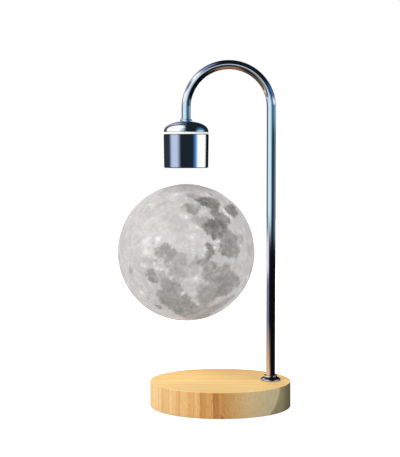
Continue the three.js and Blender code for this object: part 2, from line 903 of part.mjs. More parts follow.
function buildHead(lamp) {
  const head = new THREE.Group();
  head.position.set(hangX, 0, headFace);
  lamp.add(head);
  mesh(head, "head_sleeve", sleevePiece(), 0xc9d2dc, 0.08, 1);
  mesh(head, "head_face", facePiece(), 0x1d1e20, 0.5, 0).position.z = fit;
  mesh(head, "head_ring", whiteRingPiece(), 0xf4f5f6, 0.35, 0).position.z = ringBottom;
  mesh(head, "head_dome", domePiece(), 0xc9d2dc, 0.08, 1).position.z = domeBottom;
  mesh(head, "head_collar", collarPiece(), 0xc9d2dc, 0.08, 1).position.z = domeTop + fit;
  const washer = ring(tubeRadius + fit, headWasherRadius, headWasherThickness, innerSides);
  mesh(head, "head_washer", washer, 0x9b9da0, 0.3, 1).position.z = domeSeat - fit - headWasherThickness;
  const nut = mesh(head, "head_nut", nutPiece(headNutAcrossFlats, headNutThickness), 0x9b9da0, 0.3, 1);
  nut.position.z = domeSeat - fit - headWasherThickness - fit - headNutThickness;
  mesh(head, "head_board", headBoardPiece(), 0x1f6b45, 0.5, 0).position.z = headBoardBottom;
  mesh(head, "magnet_core", corePiece(), 0x6f7276, 0.45, 1);
  mesh(head, "magnet_bobbin", bobbinPiece(), 0xd8d4c8, 0.5, 0).position.z = coreBottom;
  mesh(head, "magnet_winding", windingPiece(), 0xb87333, 0.35, 1).position.z =
    coreBottom + bobbinFlangeThickness + fit;
  const bias = mesh(head, "bias_magnet", disc(coreRadius, biasMagnetHeight, innerSides), 0xb9bcc0, 0.25, 1);
  bias.position.z = biasMagnetBottom;
  mesh(head, "sensor_board", sensorBoardPiece(), 0x1f6b45, 0.5, 0).position.z = sensorBoardBottom;
  const transmitter = ring(transmitterInner, transmitterOuter, transmitterHeight, innerSides);
  mesh(head, "transmitter_coil", transmitter, 0xb87333, 0.35, 1).position.z = faceTop + fit;
  around(headScrewCount, headScrewCircle, headScrewStartShare, (x, y, _angle, index) => {
    const screw = mesh(head, "head_screw_" + (index + 1), headScrewPiece(), 0x8d8f92, 0.35, 1);
    screw.position.set(x, y, yokeBottom - fit);
  });
}

// The dark plains and great craters of the moon, by latitude, longitude and half width in degrees,
// each with the share of the relief's depth that it is sunk
const plains = [
  { latitude: 17, longitude: 59, spread: 9, depthShare: 0.9 },
  { latitude: -8, longitude: 51, spread: 13, depthShare: 0.7 },
  { latitude: -15, longitude: 35, spread: 7, depthShare: 0.8 },
  { latitude: 9, longitude: 31, spread: 14, depthShare: 0.9 },
  { latitude: 28, longitude: 18, spread: 11, depthShare: 0.9 },
  { latitude: 33, longitude: -16, spread: 19, depthShare: 1 },
  { latitude: 13, longitude: 4, spread: 5, depthShare: 0.5 },
  { latitude: 7, longitude: -31, spread: 10, depthShare: 0.6 },
  { latitude: -10, longitude: -23, spread: 8, depthShare: 0.7 },
  { latitude: -21, longitude: -17, spread: 11, depthShare: 0.7 },
  { latitude: -24, longitude: -39, spread: 7, depthShare: 0.9 },
  { latitude: 20, longitude: -57, spread: 20, depthShare: 0.8 },
  { latitude: 0, longitude: -48, spread: 12, depthShare: 0.7 },
  { latitude: 45, longitude: -45, spread: 12, depthShare: 0.6 },
  { latitude: 57, longitude: 0, spread: 9, depthShare: 0.6 },
  { latitude: -6, longitude: -68, spread: 4, depthShare: 1 },
  { latitude: -43, longitude: -11, spread: 4, depthShare: 1 },
  { latitude: -20, longitude: -95, spread: 10, depthShare: 0.9 },
];
const plainEdgeShare = 0.35;

const moonPose = new THREE.Quaternion().setFromEuler(
  new THREE.Euler(
    THREE.MathUtils.degToRad(moonTip),
    THREE.MathUtils.degToRad(moonRoll),
    THREE.MathUtils.degToRad(moonTurn),
    "YXZ",
  ),
);

// The direction of a place on the printed moon, whose face is mirrored east to west
function placeOnMoon(latitude, longitude) {
  const up = THREE.MathUtils.degToRad(latitude);
  const east = THREE.MathUtils.degToRad(longitude);
  const across = Math.cos(up);
  const place = new THREE.Vector3(-Math.sin(east) * across, -Math.cos(east) * across, Math.sin(up));
  return place.applyQuaternion(moonPose);
}

const plainPlaces = plains.map(({ latitude, longitude, spread, depthShare }) => ({
  place: placeOnMoon(latitude, longitude),
  spread: THREE.MathUtils.degToRad(spread),
  depthShare,
}));

// How far the surface is sunk in a direction
function sunk(direction) {
  const shares = plainPlaces.map(({ place, spread, depthShare }) => {
    const away = direction.angleTo(place) / spread;
    return depthShare * (1 - THREE.MathUtils.smoothstep(away, 1 - plainEdgeShare, 1 + plainEdgeShare));
  });
  return reliefDepth * Math.max(...shares);
}

// Presses the relief into the points of a geometry that lie on the outer sphere
function pressRelief(geometry) {
  const places = geometry.attributes.position;
  const point = new THREE.Vector3();
  for (let index = 0; index < places.count; index += 1) {
    point.fromBufferAttribute(places, index);
    const radius = point.length();
    if (radius > moonRadius - moonWall / 4) {
      point.setLength(radius - sunk(point));
      places.setXYZ(index, point.x, point.y, point.z);
    }
  }
  return geometry;
}

// Points of a sphere's outline between two polar angles, measured from the top
function sphereOutline(radius, fromAngle, toAngle, steps) {
  return Array.from({ length: steps + 1 }, (_, step) => {
    const angle = fromAngle + ((toAngle - fromAngle) * step) / steps;
    return [radius * Math.sin(angle), radius * Math.cos(angle)];
  });
}

// Radii of the port and what passes through it, from the magnet outwards
const moonInside = moonRadius - moonWall;
const pocketRadius = magnetRadius + fit;
const receiverInner = pocketRadius + moduleWall + fit;
const receiverOuter = receiverInner + receiverWidth;
const moduleRadius = receiverOuter + fit + moduleWall;
const skirtInner = moduleRadius + fit;
const skirtOuter = skirtInner + plugWall;
const ledgeRadius = skirtOuter + fit;
const plugRadius = ledgeRadius + portLedgeWidth;
const portRadius = plugRadius + fit;
const heightOn = (radius, sphere) => Math.sqrt(sphere ** 2 - radius ** 2);
const ledgeTop = heightOn(plugRadius, moonInside) - fit;
const ledgeBottom = ledgeTop - portLedgeHeight;

// The shell: outside from the bottom up to the port, over the port's ledge and back down the inside
function moonShellPiece() {
  const portAngle = Math.asin(portRadius / moonRadius);
  const ledgeAngle = Math.acos(ledgeBottom / moonInside);
  return pressRelief(
    turned(
      [
        ...sphereOutline(moonRadius, Math.PI, portAngle, moonRings),
        [portRadius, ledgeTop],
        [ledgeRadius, ledgeTop],
        [ledgeRadius, ledgeBottom],
        ...sphereOutline(moonInside, ledgeAngle, Math.PI, moonInnerRings),
      ],
      moonSides,
    ),
  );
}

// The plug that closes the port flush, with the skirt that the magnet module sits in
function moonCapPiece() {
  const rimAngle = Math.asin(plugRadius / moonRadius);
  const skirtTop = heightOn(skirtOuter, moonInside);
  const underside = sphereOutline(moonInside, 0, Math.asin(skirtInner / moonInside), cornerSteps);
  return pressRelief(
    turned(
      [
        ...underside,
        [skirtInner, skirtTop - plugSkirt],
        [skirtOuter, skirtTop - plugSkirt],
        [skirtOuter, skirtTop],
        [plugRadius, heightOn(plugRadius, moonInside)],
        ...sphereOutline(moonRadius, rimAngle, 0, cornerSteps),
      ],
      moonSides,
    ),
  );
}

// Heights in the module, from the moon's centre
const moduleTop = heightOn(moduleRadius, moonInside) - fit;
const magnetBottom = moduleTop - magnetHeight;
const pocketFloor = magnetBottom - fit;
const receiverBottom = moduleTop - receiverHeight;
const shoulderTop = pocketFloor - moduleFloor;
const shoulderBottom = shoulderTop - ledBoardGap;
const moduleBottom = shoulderTop - moduleSkirt;
const ledBoardTop = shoulderBottom - fit;
const ledBoardBottom = ledBoardTop - ledBoardThickness;
const ledBoardRadius = moduleRadius - moduleWall - fit;

// The module's housing: a pocket for the magnet, a groove for the coil and a skirt for the lights
function modulePiece() {
  return turned(
    [
      [0, shoulderTop],
      [ledBoardRadius - ledBoardShoulder, shoulderTop],
      [ledBoardRadius - ledBoardShoulder, shoulderBottom],
      [moduleRadius - moduleWall, shoulderBottom],
      [moduleRadius - moduleWall, moduleBottom],
      [moduleRadius, moduleBottom],
      [moduleRadius, moduleTop],
      [moduleRadius - moduleWall, moduleTop],
      [moduleRadius - moduleWall, receiverBottom - fit],
      [receiverInner - fit, receiverBottom - fit],
      [receiverInner - fit, moduleTop],
      [pocketRadius, moduleTop],
      [pocketRadius, pocketFloor],
      [0, pocketFloor],
    ],
    innerSides,
  );
}

// The levitation magnet: a plated disc with broken edges
function magnetPiece() {
  return turned(
    [
      [0, magnetBottom],
      [magnetRadius - magnetEdge, magnetBottom],
      [magnetRadius, magnetBottom + magnetEdge],
      [magnetRadius, moduleTop - magnetEdge],
      [magnetRadius - magnetEdge, moduleTop],
      [0, moduleTop],
    ],
    innerSides,
  );
}

// The light board, with its lamps on the underside
function ledBoardPiece() {
  const plate = disc(ledBoardRadius, ledBoardThickness, innerSides);
  const lamps = around(ledCount, ledCircle, 0, (x, y, angle) =>
    block(ledSize, ledSize, ledHeight).rotateZ(angle).translate(x, y, weld - ledHeight),
  );
  return joined(plate, ...lamps);
}

// The frosted diffuser: a rim that holds the board up against its shoulder, over a shallow bowl
function diffuserPiece() {
  const rimTop = ledBoardBottom - fit;
  const inner = ledBoardRadius - diffuserWall;
  const bowl = (radius, depth, from, to) =>
    Array.from({ length: bowlSteps + 1 }, (_, step) => {
      const angle = (from + ((to - from) * step) / bowlSteps) * (Math.PI / 2);
      return [radius * Math.cos(angle), moduleBottom - depth * Math.sin(angle)];
    });
  return turned(
    [
      ...bowl(ledBoardRadius, diffuserBulge + diffuserWall, 1, 0),
      [ledBoardRadius, rimTop],
      [inner, rimTop],
      ...bowl(inner, diffuserBulge, 0, 1),
    ],
    innerSides,
  );
}

function buildMoon(lamp) {
  const moon = new THREE.Group();
  moon.position.set(hangX, 0, moonCentre);
  lamp.add(moon);
  mesh(moon, "moon_shell", moonShellPiece(), 0xcfcdca, 0.85, 0);
  mesh(moon, "moon_cap", moonCapPiece(), 0xcfcdca, 0.85, 0);
  mesh(moon, "module_housing", modulePiece(), 0xe9e9e6, 0.5, 0);
  mesh(moon, "levitation_magnet", magnetPiece(), 0xb9bcc0, 0.25, 1);
  const receiver = ring(receiverInner, receiverOuter, receiverHeight, innerSides);
  mesh(moon, "receiver_coil", receiver, 0xb87333, 0.35, 1).position.z = receiverBottom;
  mesh(moon, "led_board", ledBoardPiece(), 0xf0efe9, 0.4, 0).position.z = ledBoardBottom;
  mesh(moon, "light_diffuser", diffuserPiece(), 0xf6f5f0, 0.4, 0);
}

const lamp = new THREE.Group();
lamp.name = "levitating_moon_lamp";
buildBase(lamp);
buildArm(lamp);
buildHead(lamp);
buildMoon(lamp);

export default lamp;
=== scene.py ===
import cmath
import json
import math

import bmesh
import bpy
import numpy as np
from mathutils import Matrix, Vector, noise

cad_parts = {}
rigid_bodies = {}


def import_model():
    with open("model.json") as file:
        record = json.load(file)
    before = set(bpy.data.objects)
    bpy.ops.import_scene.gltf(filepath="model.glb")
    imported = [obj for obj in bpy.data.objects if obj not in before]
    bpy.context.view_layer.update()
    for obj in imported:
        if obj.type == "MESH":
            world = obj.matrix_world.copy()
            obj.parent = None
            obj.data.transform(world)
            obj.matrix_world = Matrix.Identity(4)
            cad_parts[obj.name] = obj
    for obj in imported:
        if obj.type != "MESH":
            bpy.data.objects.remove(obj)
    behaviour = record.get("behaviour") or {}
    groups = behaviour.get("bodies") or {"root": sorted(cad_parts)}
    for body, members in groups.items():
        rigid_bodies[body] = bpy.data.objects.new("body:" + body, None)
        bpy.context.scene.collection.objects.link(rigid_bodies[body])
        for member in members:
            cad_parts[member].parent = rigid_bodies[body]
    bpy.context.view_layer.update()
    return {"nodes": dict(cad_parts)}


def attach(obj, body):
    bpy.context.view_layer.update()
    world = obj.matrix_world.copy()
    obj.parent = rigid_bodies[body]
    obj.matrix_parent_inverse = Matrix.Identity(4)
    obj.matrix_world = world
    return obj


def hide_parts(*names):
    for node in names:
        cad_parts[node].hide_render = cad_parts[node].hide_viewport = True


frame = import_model()

# The camera and the studio. The lamp is seen from straight in front, from the height of its head. Chrome
# shows the studio itself: cards of light and dark paper all round, drawn on large sheets that only chrome
# sees, while the picture's own ground is plain white.
MM = 0.001


def linear(colour):
    """An sRGB hex colour as linear red, green, blue and alpha."""
    parts = [int(colour[place : place + 2], 16) / 255 for place in (0, 2, 4)]
    return (*[p / 12.92 if p <= 0.04045 else ((p + 0.055) / 1.055) ** 2.4 for p in parts], 1.0)


def feed(tree, made, inputs):
    """Sets a node's inputs to values, or links them from a socket or from a node's first output."""
    for key, value in inputs.items():
        if isinstance(value, bpy.types.Node):
            value = value.outputs[0]
        if isinstance(value, bpy.types.NodeSocket):
            tree.links.new(value, made.inputs[key])
        else:
            made.inputs[key].default_value = value


def node(tree, kind, inputs=None, tones=(), stops=(), **settings):
    """A new node with its settings and inputs. A ramp's tones are hex colours or linear greys, spread evenly
    unless their stops are given. A kind without Node in its name is a shader's."""
    made = tree.nodes.new(kind if "Node" in kind else "ShaderNode" + kind)
    for name, value in settings.items():
        setattr(made, name, value)
    feed(tree, made, inputs or {})
    for _ in tones[2:]:
        made.color_ramp.elements.new(0.5)
    for at, tone in enumerate(tones):
        element = made.color_ramp.elements[at]
        element.position = stops[at] if stops else at / (len(tones) - 1)
        element.color = linear(tone) if isinstance(tone, str) else (tone, tone, tone, 1)
    return made


def show(name, data):
    """A new object for a mesh, a lamp or a camera, at the origin."""
    piece = bpy.data.objects.new(name, data)
    bpy.context.scene.collection.objects.link(piece)
    return piece


camera_place, camera_dip = (-22.4, -1461.3, 284.1), 3.43
camera_data = bpy.data.cameras.new("camera")
camera_data.sensor_width = 36
camera_data.lens = 105.14
camera_data.clip_end = 100
camera = show("camera", camera_data)
camera.location = Vector(camera_place) * MM
camera.rotation_euler = (math.radians(90 - camera_dip), 0, 0)
bpy.context.scene.camera = camera
bpy.context.scene.view_settings.view_transform = "Standard"

white = (1, 1, 1, 1)
world = bpy.data.worlds.new("white_ground")
world.use_nodes = True
tree = world.node_tree
tree.nodes.clear()
path = node(tree, "LightPath")
seen = path.outputs["Is Camera Ray"]
for way in ("Is Glossy Ray", "Is Transmission Ray"):
    seen = node(tree, "Math", {0: seen, 1: path.outputs[way]}, operation="MAXIMUM")
fill = node(tree, "Background", {"Color": linear("f1f4fa"), "Strength": 0.5})
ground = node(tree, "Background", {"Color": white, "Strength": 1.0})
node(tree, "OutputWorld", {"Surface": node(tree, "MixShader", {0: seen, 1: fill, 2: ground})})
bpy.context.scene.world = world

# The floor: eight metres of pale paper, lifted to white for the camera alone.
floor_half, floor_lift = 4, 0.86
floor_mesh = bpy.data.meshes.new("studio_floor")
floor_corners = [(x * floor_half, y * floor_half, 0) for x, y in ((-1, -1), (1, -1), (1, 1), (-1, 1))]
floor_mesh.from_pydata(floor_corners, [], [(0, 1, 2, 3)])
floor = show("studio_floor", floor_mesh)
paper = bpy.data.materials.new("white_paper_floor")
paper.use_nodes = True
tree = paper.node_tree
shader = tree.nodes["Principled BSDF"]
feed(tree, shader, {"Roughness": 0.9, "Base Color": linear("e6e6e6")})
seen = node(tree, "LightPath").outputs["Is Camera Ray"]
lift = node(tree, "Math", {0: seen, 1: floor_lift}, operation="MULTIPLY")
lit = node(tree, "Emission", {"Color": white, "Strength": lift})
feed(tree, tree.nodes["Material Output"], {"Surface": node(tree, "AddShader", {0: shader, 1: lit})})
floor_mesh.materials.append(paper)
floor.visible_glossy = False

lamps_aim = Vector((0, 0, 150))
for name, place, size, energy, colour in (
    # name, place in mm, width in m, watts, colour
    ("key_lamp", (-1300, -900, 1300), 0.9, 22.0, "fff8ee"),
    ("right_lamp", (1000, -900, 1150), 0.9, 9.0, "fffaf2"),
    ("back_lamp", (-300, 1150, 1000), 1.2, 15.0, "fff8ee"),
):
    lamp_data = bpy.data.lights.new(name, "AREA")
    lamp_data.size = size
    lamp_data.energy = energy
    lamp_data.color = linear(colour)[:3]
    lamp = show(name, lamp_data)
    lamp.location = Vector(place) * MM
    lamp.rotation_euler = (lamps_aim - Vector(place)).to_track_quat("-Z", "Y").to_euler()
    lamp.visible_glossy = False

# The studio's cards, as chrome sees them from the lamp's head: each spans a range of degrees round from
# the camera, to the left below 0, and of degrees above the horizon, with soft edges. Further down, the
# sleeve and the dome each have a studio of their own, and the arm and its flange a small sheet more.
studio_cards = (
    # name, round from, to, soft, above from, to, soft, colour, strength
    ("back left wall", -176, -112, 14, -8, 60, 10, "3a3f52", 1.0),
    ("back light", -152, -114, 14, 12, 42, 8, "c5c8d4", 1.0),
    ("left sky", -118, -20, 16, 9, 66, 12, "74799f", 1.0),
    ("left sky edge", -110, -40, 20, 48, 72, 12, "8d93c4", 1.0),
    ("left high light", -104, -52, 14, 40, 52, 7, "ffffff", 1.15),
    ("left high light middle", -62, -36, 10, 32, 46, 8, "ffffff", 1.1),
    ("left high light foot", -44, -24, 9, 23, 36, 8, "f2f3ff", 1.0),
    ("left high light tip", -28, -10, 8, 14, 27, 8, "e6ecf6", 1.0),
    ("left pale band", -112, -18, 10, 8, 24, 8, "f8faff", 1.0),
    ("left softbox", -97, 0, 16, -7.2, 9, 4, "d4edfb", 1.0),
    ("front haze", -4, 17, 14, -6, 10, 3, "84aab9", 1.0),
    ("front wall", 17, 72, 14, 1.5, 10, 3, "3c6e8c", 1.0),
    ("front low wall", 17, 72, 14, -8, 1.5, 3, "1b3a48", 1.0),
    ("right wall", 72, 152, 16, 1.5, 8, 3, "91a5b9", 1.0),
    ("right low wall", 72, 152, 16, -8, 1.5, 3, "6a757d", 1.0),
    ("overhead", -14, 80, 14, 27, 88, 8, "161b28", 1.0),
    ("strip light top", 50, 122, 14, 7, 15, 4, "f4f3ff", 1.0),
    ("blue glow", 46, 112, 20, 14, 29, 12, "3f74b6", 1.0),
    ("left low lavender", -150, -54, 16, -11.4, -7.5, 2, "e4daf2", 1.0),
    ("left low wall", -160, -48, 16, -17, -11.4, 2, "807f9b", 1.0),
    ("left dark floor", -160, -30, 20, -60, -20, 5, "524e48", 1.0),
    ("low black", -48, 180, 10, -60, -8, 3, "0b0d12", 1.0),
    ("left warm foot", -176, -36, 40, -22.5, -16.3, 3, "b39d8c", 1.0),
    ("left warm floor", -176, -12, 44, -22.5, -18.4, 2, "f0be92", 1.3),
    ("warm table", -20, 48, 20, -92, -42, 12, "8a6450", 1.0),
    ("warm table under", -182, 182, 2, -92, -66, 14, "a87559", 1.0),
)
dark_studio = "0c1016"


def soft_step(low, high, value):
    """A smooth rise from 0 at low to 1 at high."""
    share = np.clip((value - low) / (high - low), 0, 1)
    return share * share * (3 - 2 * share)


def card_cover(turns, rises, left, right, soft, low, high, fade):
    """How much of each direction a card takes up, from 0 to 1."""
    cover = soft_step(left - soft / 2, left + soft / 2, turns)
    cover *= 1 - soft_step(right - soft / 2, right + soft / 2, turns)
    cover *= soft_step(low - fade / 2, low + fade / 2, rises)
    return cover * (1 - soft_step(high - fade / 2, high + fade / 2, rises))


def light_of(share, colour):
    """The light of a card's colour, times its share at each place."""
    return share[..., None] * np.array(linear(colour)[:3])


def cards_light(cards, turns, rises):
    """The light of a set of cards in each direction, later ones over earlier ones."""
    total = light_of(np.ones(turns.shape), dark_studio)
    for _, left, right, soft, low, high, fade, colour, strength in cards:
        cover = card_cover(turns, rises, left, right, soft, low, high, fade)
        total += light_of(cover, colour) * strength - total * cover[..., None]
    return total


def lit_sheet(name, middle, radius, turns, rises, light, seen_by=None):
    """Lit paper bent round a place, in mm, its light given per direction. With seen_by it is clear where
    it is unlit, and only that piece mirrors it."""
    turn, rise = np.radians(turns), np.radians(rises)
    points = np.stack([np.sin(turn) * np.cos(rise), -np.cos(turn) * np.cos(rise), np.sin(rise)], axis=-1)
    points = (points * radius + np.array(middle)).reshape(-1, 3) * MM
    high, wide = turns.shape
    starts = [row * wide + at for row in range(high - 1) for at in range(wide - 1)]
    faces = [(start, start + 1, start + wide + 1, start + wide) for start in starts]
    mesh = bpy.data.meshes.new(name)
    mesh.from_pydata(points.tolist(), [], faces)
    shades = np.concatenate([light.reshape(-1, 3), np.ones((high * wide, 1))], axis=1)
    mesh.attributes.new("card_light", "FLOAT_COLOR", "POINT").data.foreach_set("color", shades.ravel())
    paper = bpy.data.materials.new(name + "_paper")
    paper.use_nodes = True
    tree = paper.node_tree
    tree.nodes.clear()
    glow = node(tree, "Emission", {"Color": node(tree, "Attribute", attribute_name="card_light")})
    if seen_by:
        glow = node(tree, "AddShader", {0: glow, 1: node(tree, "BsdfTransparent")})
    node(tree, "OutputMaterial", {"Surface": glow})
    paper.cycles.emission_sampling = "NONE"
    mesh.materials.append(paper)
    sheet = show(name, mesh)
    sheet.visible_camera = sheet.visible_diffuse = sheet.visible_transmission = sheet.visible_shadow = False
    if seen_by:
        group = bpy.data.collections.new(name + "_seen_by")
        group.objects.link(seen_by)
        sheet.light_linking.receiver_collection = group
    return sheet


# The sheets' rows are closest near the horizon, where the cards are thinnest.
studio_middle = (-20, 0, 284)
heights = np.concatenate([np.arange(-90, -12, 3), np.arange(-12, 12, 0.4), np.arange(12, 90.5, 2)])
all_turns, all_rises = np.meshgrid(np.arange(-180, 180.5, 1.0), heights)
studio_light = cards_light(studio_cards, all_turns, all_rises)
walls = lit_sheet("studio_walls", studio_middle, 1500, all_turns, all_rises, studio_light)

# The pine base: a disc 155 mm across, turned from two glued boards, hollowed from below for the charger and
# clear-lacquered. Its left board is quarter-sawn, with upright bands, and its right board holds the heart.
ROUND_SIDES = 192


def rounded(corners, steps=6):
    """Outline corners (radius, height, rounding) in mm as points, each rounded corner as an arc."""
    points = []
    for index, (radius, height, curve) in enumerate(corners):
        here = complex(radius, height)
        if not curve:
            points.append(here)
            continue
        before = complex(*corners[index - 1][:2]) - here
        after = complex(*corners[(index + 1) % len(corners)][:2]) - here
        before, after = before / abs(before), after / abs(after)
        half = abs(cmath.phase(after / before)) / 2
        centre = here + (before + after) / abs(before + after) * curve / math.sin(half)
        start = here + before * curve / math.tan(half) - centre
        end = here + after * curve / math.tan(half) - centre
        turn = cmath.phase(end / start)
        points += [centre + start * cmath.exp(1j * turn * step / steps) for step in range(steps + 1)]
    return [(point.real, point.imag) for point in points]


def held(outline, edge=0.12):
    """The outline with a point close to each end of a long flat, which keeps the flat's shading even."""
    points = []
    for here, after in zip(outline, [*outline[1:], outline[0]]):
        points.append(here)
        span = complex(*after) - complex(*here)
        if abs(span) > 8 * edge and here is not outline[-1]:
            step = span / abs(span) * edge
            points.append((here[0] + step.real, here[1] + step.imag))
            points.append((after[0] - step.real, after[1] - step.imag))
    return points


def lathe(name, outline, place=(0, 0, 0), sides=ROUND_SIDES, lying=False, flats=True):
    """A turned piece from an outline of (radius, height) in mm. One that starts off the axis is a ring, and
    one without flats keeps its outline's own points."""
    rings, points = [], []
    for radius, height in held(outline) if flats else outline:
        count = sides if radius > 1e-6 else 1
        rings.append(range(len(points), len(points) + count))
        angles = [2 * math.pi * side / sides for side in range(count)]
        points += [(radius * math.cos(angle), radius * math.sin(angle), height) for angle in angles]
    pairs = list(zip(rings, rings[1:]))
    if outline[0][0] > 1e-6:
        pairs.append((rings[-1], rings[0]))
    faces = []
    for low, high in pairs:
        for side in range(sides if len(low) + len(high) > 2 else 0):
            after = (side + 1) % sides
            ends = ((low, side), (low, after), (high, after), (high, side))
            faces.append(list(dict.fromkeys(ring[at % len(ring)] for ring, at in ends)))
    mesh = bpy.data.meshes.new(name)
    mesh.from_pydata(points, [], faces)
    stand = Matrix.Rotation(-math.pi / 2, 4, "X") if lying else Matrix.Identity(4)
    mesh.transform(Matrix.Diagonal((MM, MM, MM, 1)) @ Matrix.Translation(place) @ stand)
    return finished(mesh)


def finished(mesh, sharp=32):
    """Turns a mesh's faces outwards and shades it smooth between its edges."""
    shape = bmesh.new()
    shape.from_mesh(mesh)
    bmesh.ops.remove_doubles(shape, verts=shape.verts, dist=1e-7)
    bmesh.ops.recalc_face_normals(shape, faces=shape.faces)
    shape.to_mesh(mesh)
    shape.free()
    mesh.shade_smooth()
    mesh.set_sharp_from_angle(angle=math.radians(sharp))
    return mesh


def evaluated(piece):
    """A piece's plain mesh with its modifiers applied. The piece itself goes."""
    bpy.context.view_layer.update()
    mesh = bpy.data.meshes.new_from_object(piece.evaluated_get(bpy.context.evaluated_depsgraph_get()))
    bpy.data.objects.remove(piece)
    return mesh


def cut(mesh, *tools):
    """A mesh with other meshes cut out of it."""
    body = show(mesh.name, mesh)
    others = [show("tool", tool) for tool in tools]
    for other in others:
        modifier = body.modifiers.new("cut", "BOOLEAN")
        modifier.operation = "DIFFERENCE"
        modifier.solver = "EXACT"
        modifier.object = other
    made = evaluated(body)
    for gone in others:
        bpy.data.objects.remove(gone)
    return finished(made)


def drill(radius, low, high, place=(0, 0, 0), lying=False, sides=48):
    """A plain round tool for cutting."""
    return lathe("tool", [(0, low), (radius, low), (radius, high), (0, high)], place, sides, lying)


def placed(name, mesh, material, body, slot, *nodes):
    """A finished piece: its material, the body it rides on, its slot, which is not used, and the solids it
    stands for.
    """
    mesh.materials.clear()
    mesh.materials.append(material)
    mesh.name = name
    piece = show(name, mesh)
    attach(piece, body)
    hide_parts(*nodes)
    return piece


def surface(name):
    """A new material with its tree, its shader and the position on the piece, in metres."""
    material = bpy.data.materials.new(name)
    material.use_nodes = True
    tree = material.node_tree
    return material, tree, tree.nodes["Principled BSDF"], node(tree, "TexCoord").outputs["Object"]


post_x, hang_x = 55.5, -37.5
base_radius, base_top, pad_proud = 77.5, 29.0, 1.0
ceiling, cavity_radius = 24.0, 65.5
cover_seat, cover_seat_radius = 5.1, 71.7
screw_circle, pilot_radius, pilot_top = 68.6, 1.75, 11.6
tube_hole, socket_face, socket_hole = 5.3, 7.5, 5.9
socket_place = (0, 75.636, 15.0)
base_outline = rounded(
    [
        (0, ceiling, 0), (cavity_radius, ceiling, 1), (cavity_radius, cover_seat, 0),
        (cover_seat_radius, cover_seat, 0), (cover_seat_radius, pad_proud, 0.3), (base_radius, pad_proud, 1),
        (base_radius, base_top, 0.9), (0, base_top, 0),
    ]
)
pilots = [
    drill(pilot_radius, 3, pilot_top, (screw_circle * math.cos(angle), screw_circle * math.sin(angle), 0))
    for angle in [math.pi / 4 + index * math.pi / 2 for index in range(4)]
]
wood_mesh = cut(
    lathe("base_wood", base_outline),
    drill(tube_hole, 20, 32, (post_x, 0, 0)),
    drill(socket_face, 0, 10, socket_place, lying=True),
    drill(socket_hole, -13, 2, socket_place, lying=True),
    *pilots,
)

# Lacquered pine: pale early wood with amber bands of late wood a few mm apart. It gives the eye warm
# upright bands on the side, faint streaks from side to side on the top and a soft sheen from the lacquer.
heart_place, arc_from, arc_to = (0.0267, 0, 0.029), 0.0362, 0.0378
rings_per_metre = 420.0
pine, tree, shader, position = surface("lacquered_pine")
wander = node(tree, "TexNoise", {"Vector": position, "Scale": 16.0, "Detail": 2.0})
offset = node(tree, "VectorMath", {0: wander.outputs["Color"], 1: (0.5, 0.5, 0.5)}, operation="SUBTRACT")
offset = node(tree, "VectorMath", {0: offset, "Scale": 0.005}, operation="SCALE")
bent = node(tree, "VectorMath", {0: position, 1: offset}, operation="ADD")
bent_axes = node(tree, "SeparateXYZ", {0: bent}).outputs
bent_x = bent_axes["X"]
straight_x = node(tree, "SeparateXYZ", {0: position}).outputs["X"]
face_up = node(tree, "SeparateXYZ", {0: node(tree, "NewGeometry").outputs["Normal"]}).outputs["Z"]
on_top = node(tree, "MapRange", {"Value": face_up, "From Min": 0.4, "From Max": 0.8})
inputs = {"Value": bent_x, "From Min": -base_radius * MM, "From Max": -0.0005}
left_share = node(tree, "MapRange", inputs)
# Each band of the left board: how far across it is, and how dark.
bands = (
    (0.0, 0.05), (0.12, 0.1), (0.2, 0.36), (0.27, 0.26), (0.33, 0.2), (0.41, 0.42), (0.48, 0.3),
    (0.57, 0.44), (0.68, 0.36), (0.725, 0.75), (0.77, 0.72), (0.8, 0.58), (0.87, 0.58), (0.905, 0.95),
    (0.95, 0.9), (1.0, 0.62),
)
band_stops, band_darks = zip(*bands)
left_bands = node(tree, "ValToRGB", {"Fac": left_share}, band_darks, band_stops)
left_bands.color_ramp.interpolation = "EASE"
heart = node(tree, "VectorMath", {0: bent, 1: heart_place}, operation="SUBTRACT")
heart = node(tree, "VectorMath", {0: heart, 1: (1, 0.06, 1)}, operation="MULTIPLY")
from_heart = node(tree, "VectorMath", {0: heart}, operation="LENGTH").outputs["Value"]
# The right board's side is darker past an arc round the heart.
inputs = {"Value": from_heart, "From Min": arc_from, "From Max": arc_to}
past_arc = node(tree, "MapRange", inputs, interpolation_type="SMOOTHSTEP")
on_right = node(tree, "MapRange", {"Value": bent_x, "From Min": -0.002, "From Max": 0.001})
side_place = node(tree, "Mix", {0: on_right, 2: bent_x, 3: from_heart})
ring_place = node(tree, "Mix", {0: on_top, 2: side_place, 3: bent_axes["Y"]})
ring_count = node(tree, "Math", {0: ring_place, 1: rings_per_metre}, operation="MULTIPLY")
inputs = {"W": ring_count, "Scale": 1.0, "Detail": 3.0, "Roughness": 0.6}
rings = node(tree, "TexNoise", inputs, noise_dimensions="1D")
across = node(tree, "Mix", {0: on_top, 2: bent_x, 3: bent_axes["Y"]})
along = node(tree, "Mix", {0: on_top, 2: bent_axes["Y"], 3: bent_x})
grain_place = node(tree, "CombineXYZ", {0: across, 1: along, 2: bent_axes["Z"]})
fibre_place = node(tree, "Mapping", {"Vector": grain_place, "Scale": (1300, 55, 130)})
fibres = node(tree, "TexNoise", {"Vector": fibre_place, "Scale": 1.0, "Detail": 2.0})
fleck_place = node(tree, "Mapping", {"Vector": grain_place, "Scale": (900, 900, 420)})
flecks = node(tree, "TexNoise", {"Vector": fleck_place, "Scale": 1.0, "Detail": 1.0})
flecks = node(tree, "MapRange", {"Value": flecks, "From Min": 0.66, "From Max": 0.74, "To Max": 0.35})
left_dark = node(tree, "Math", {0: left_bands, 1: 0.9}, operation="MULTIPLY")
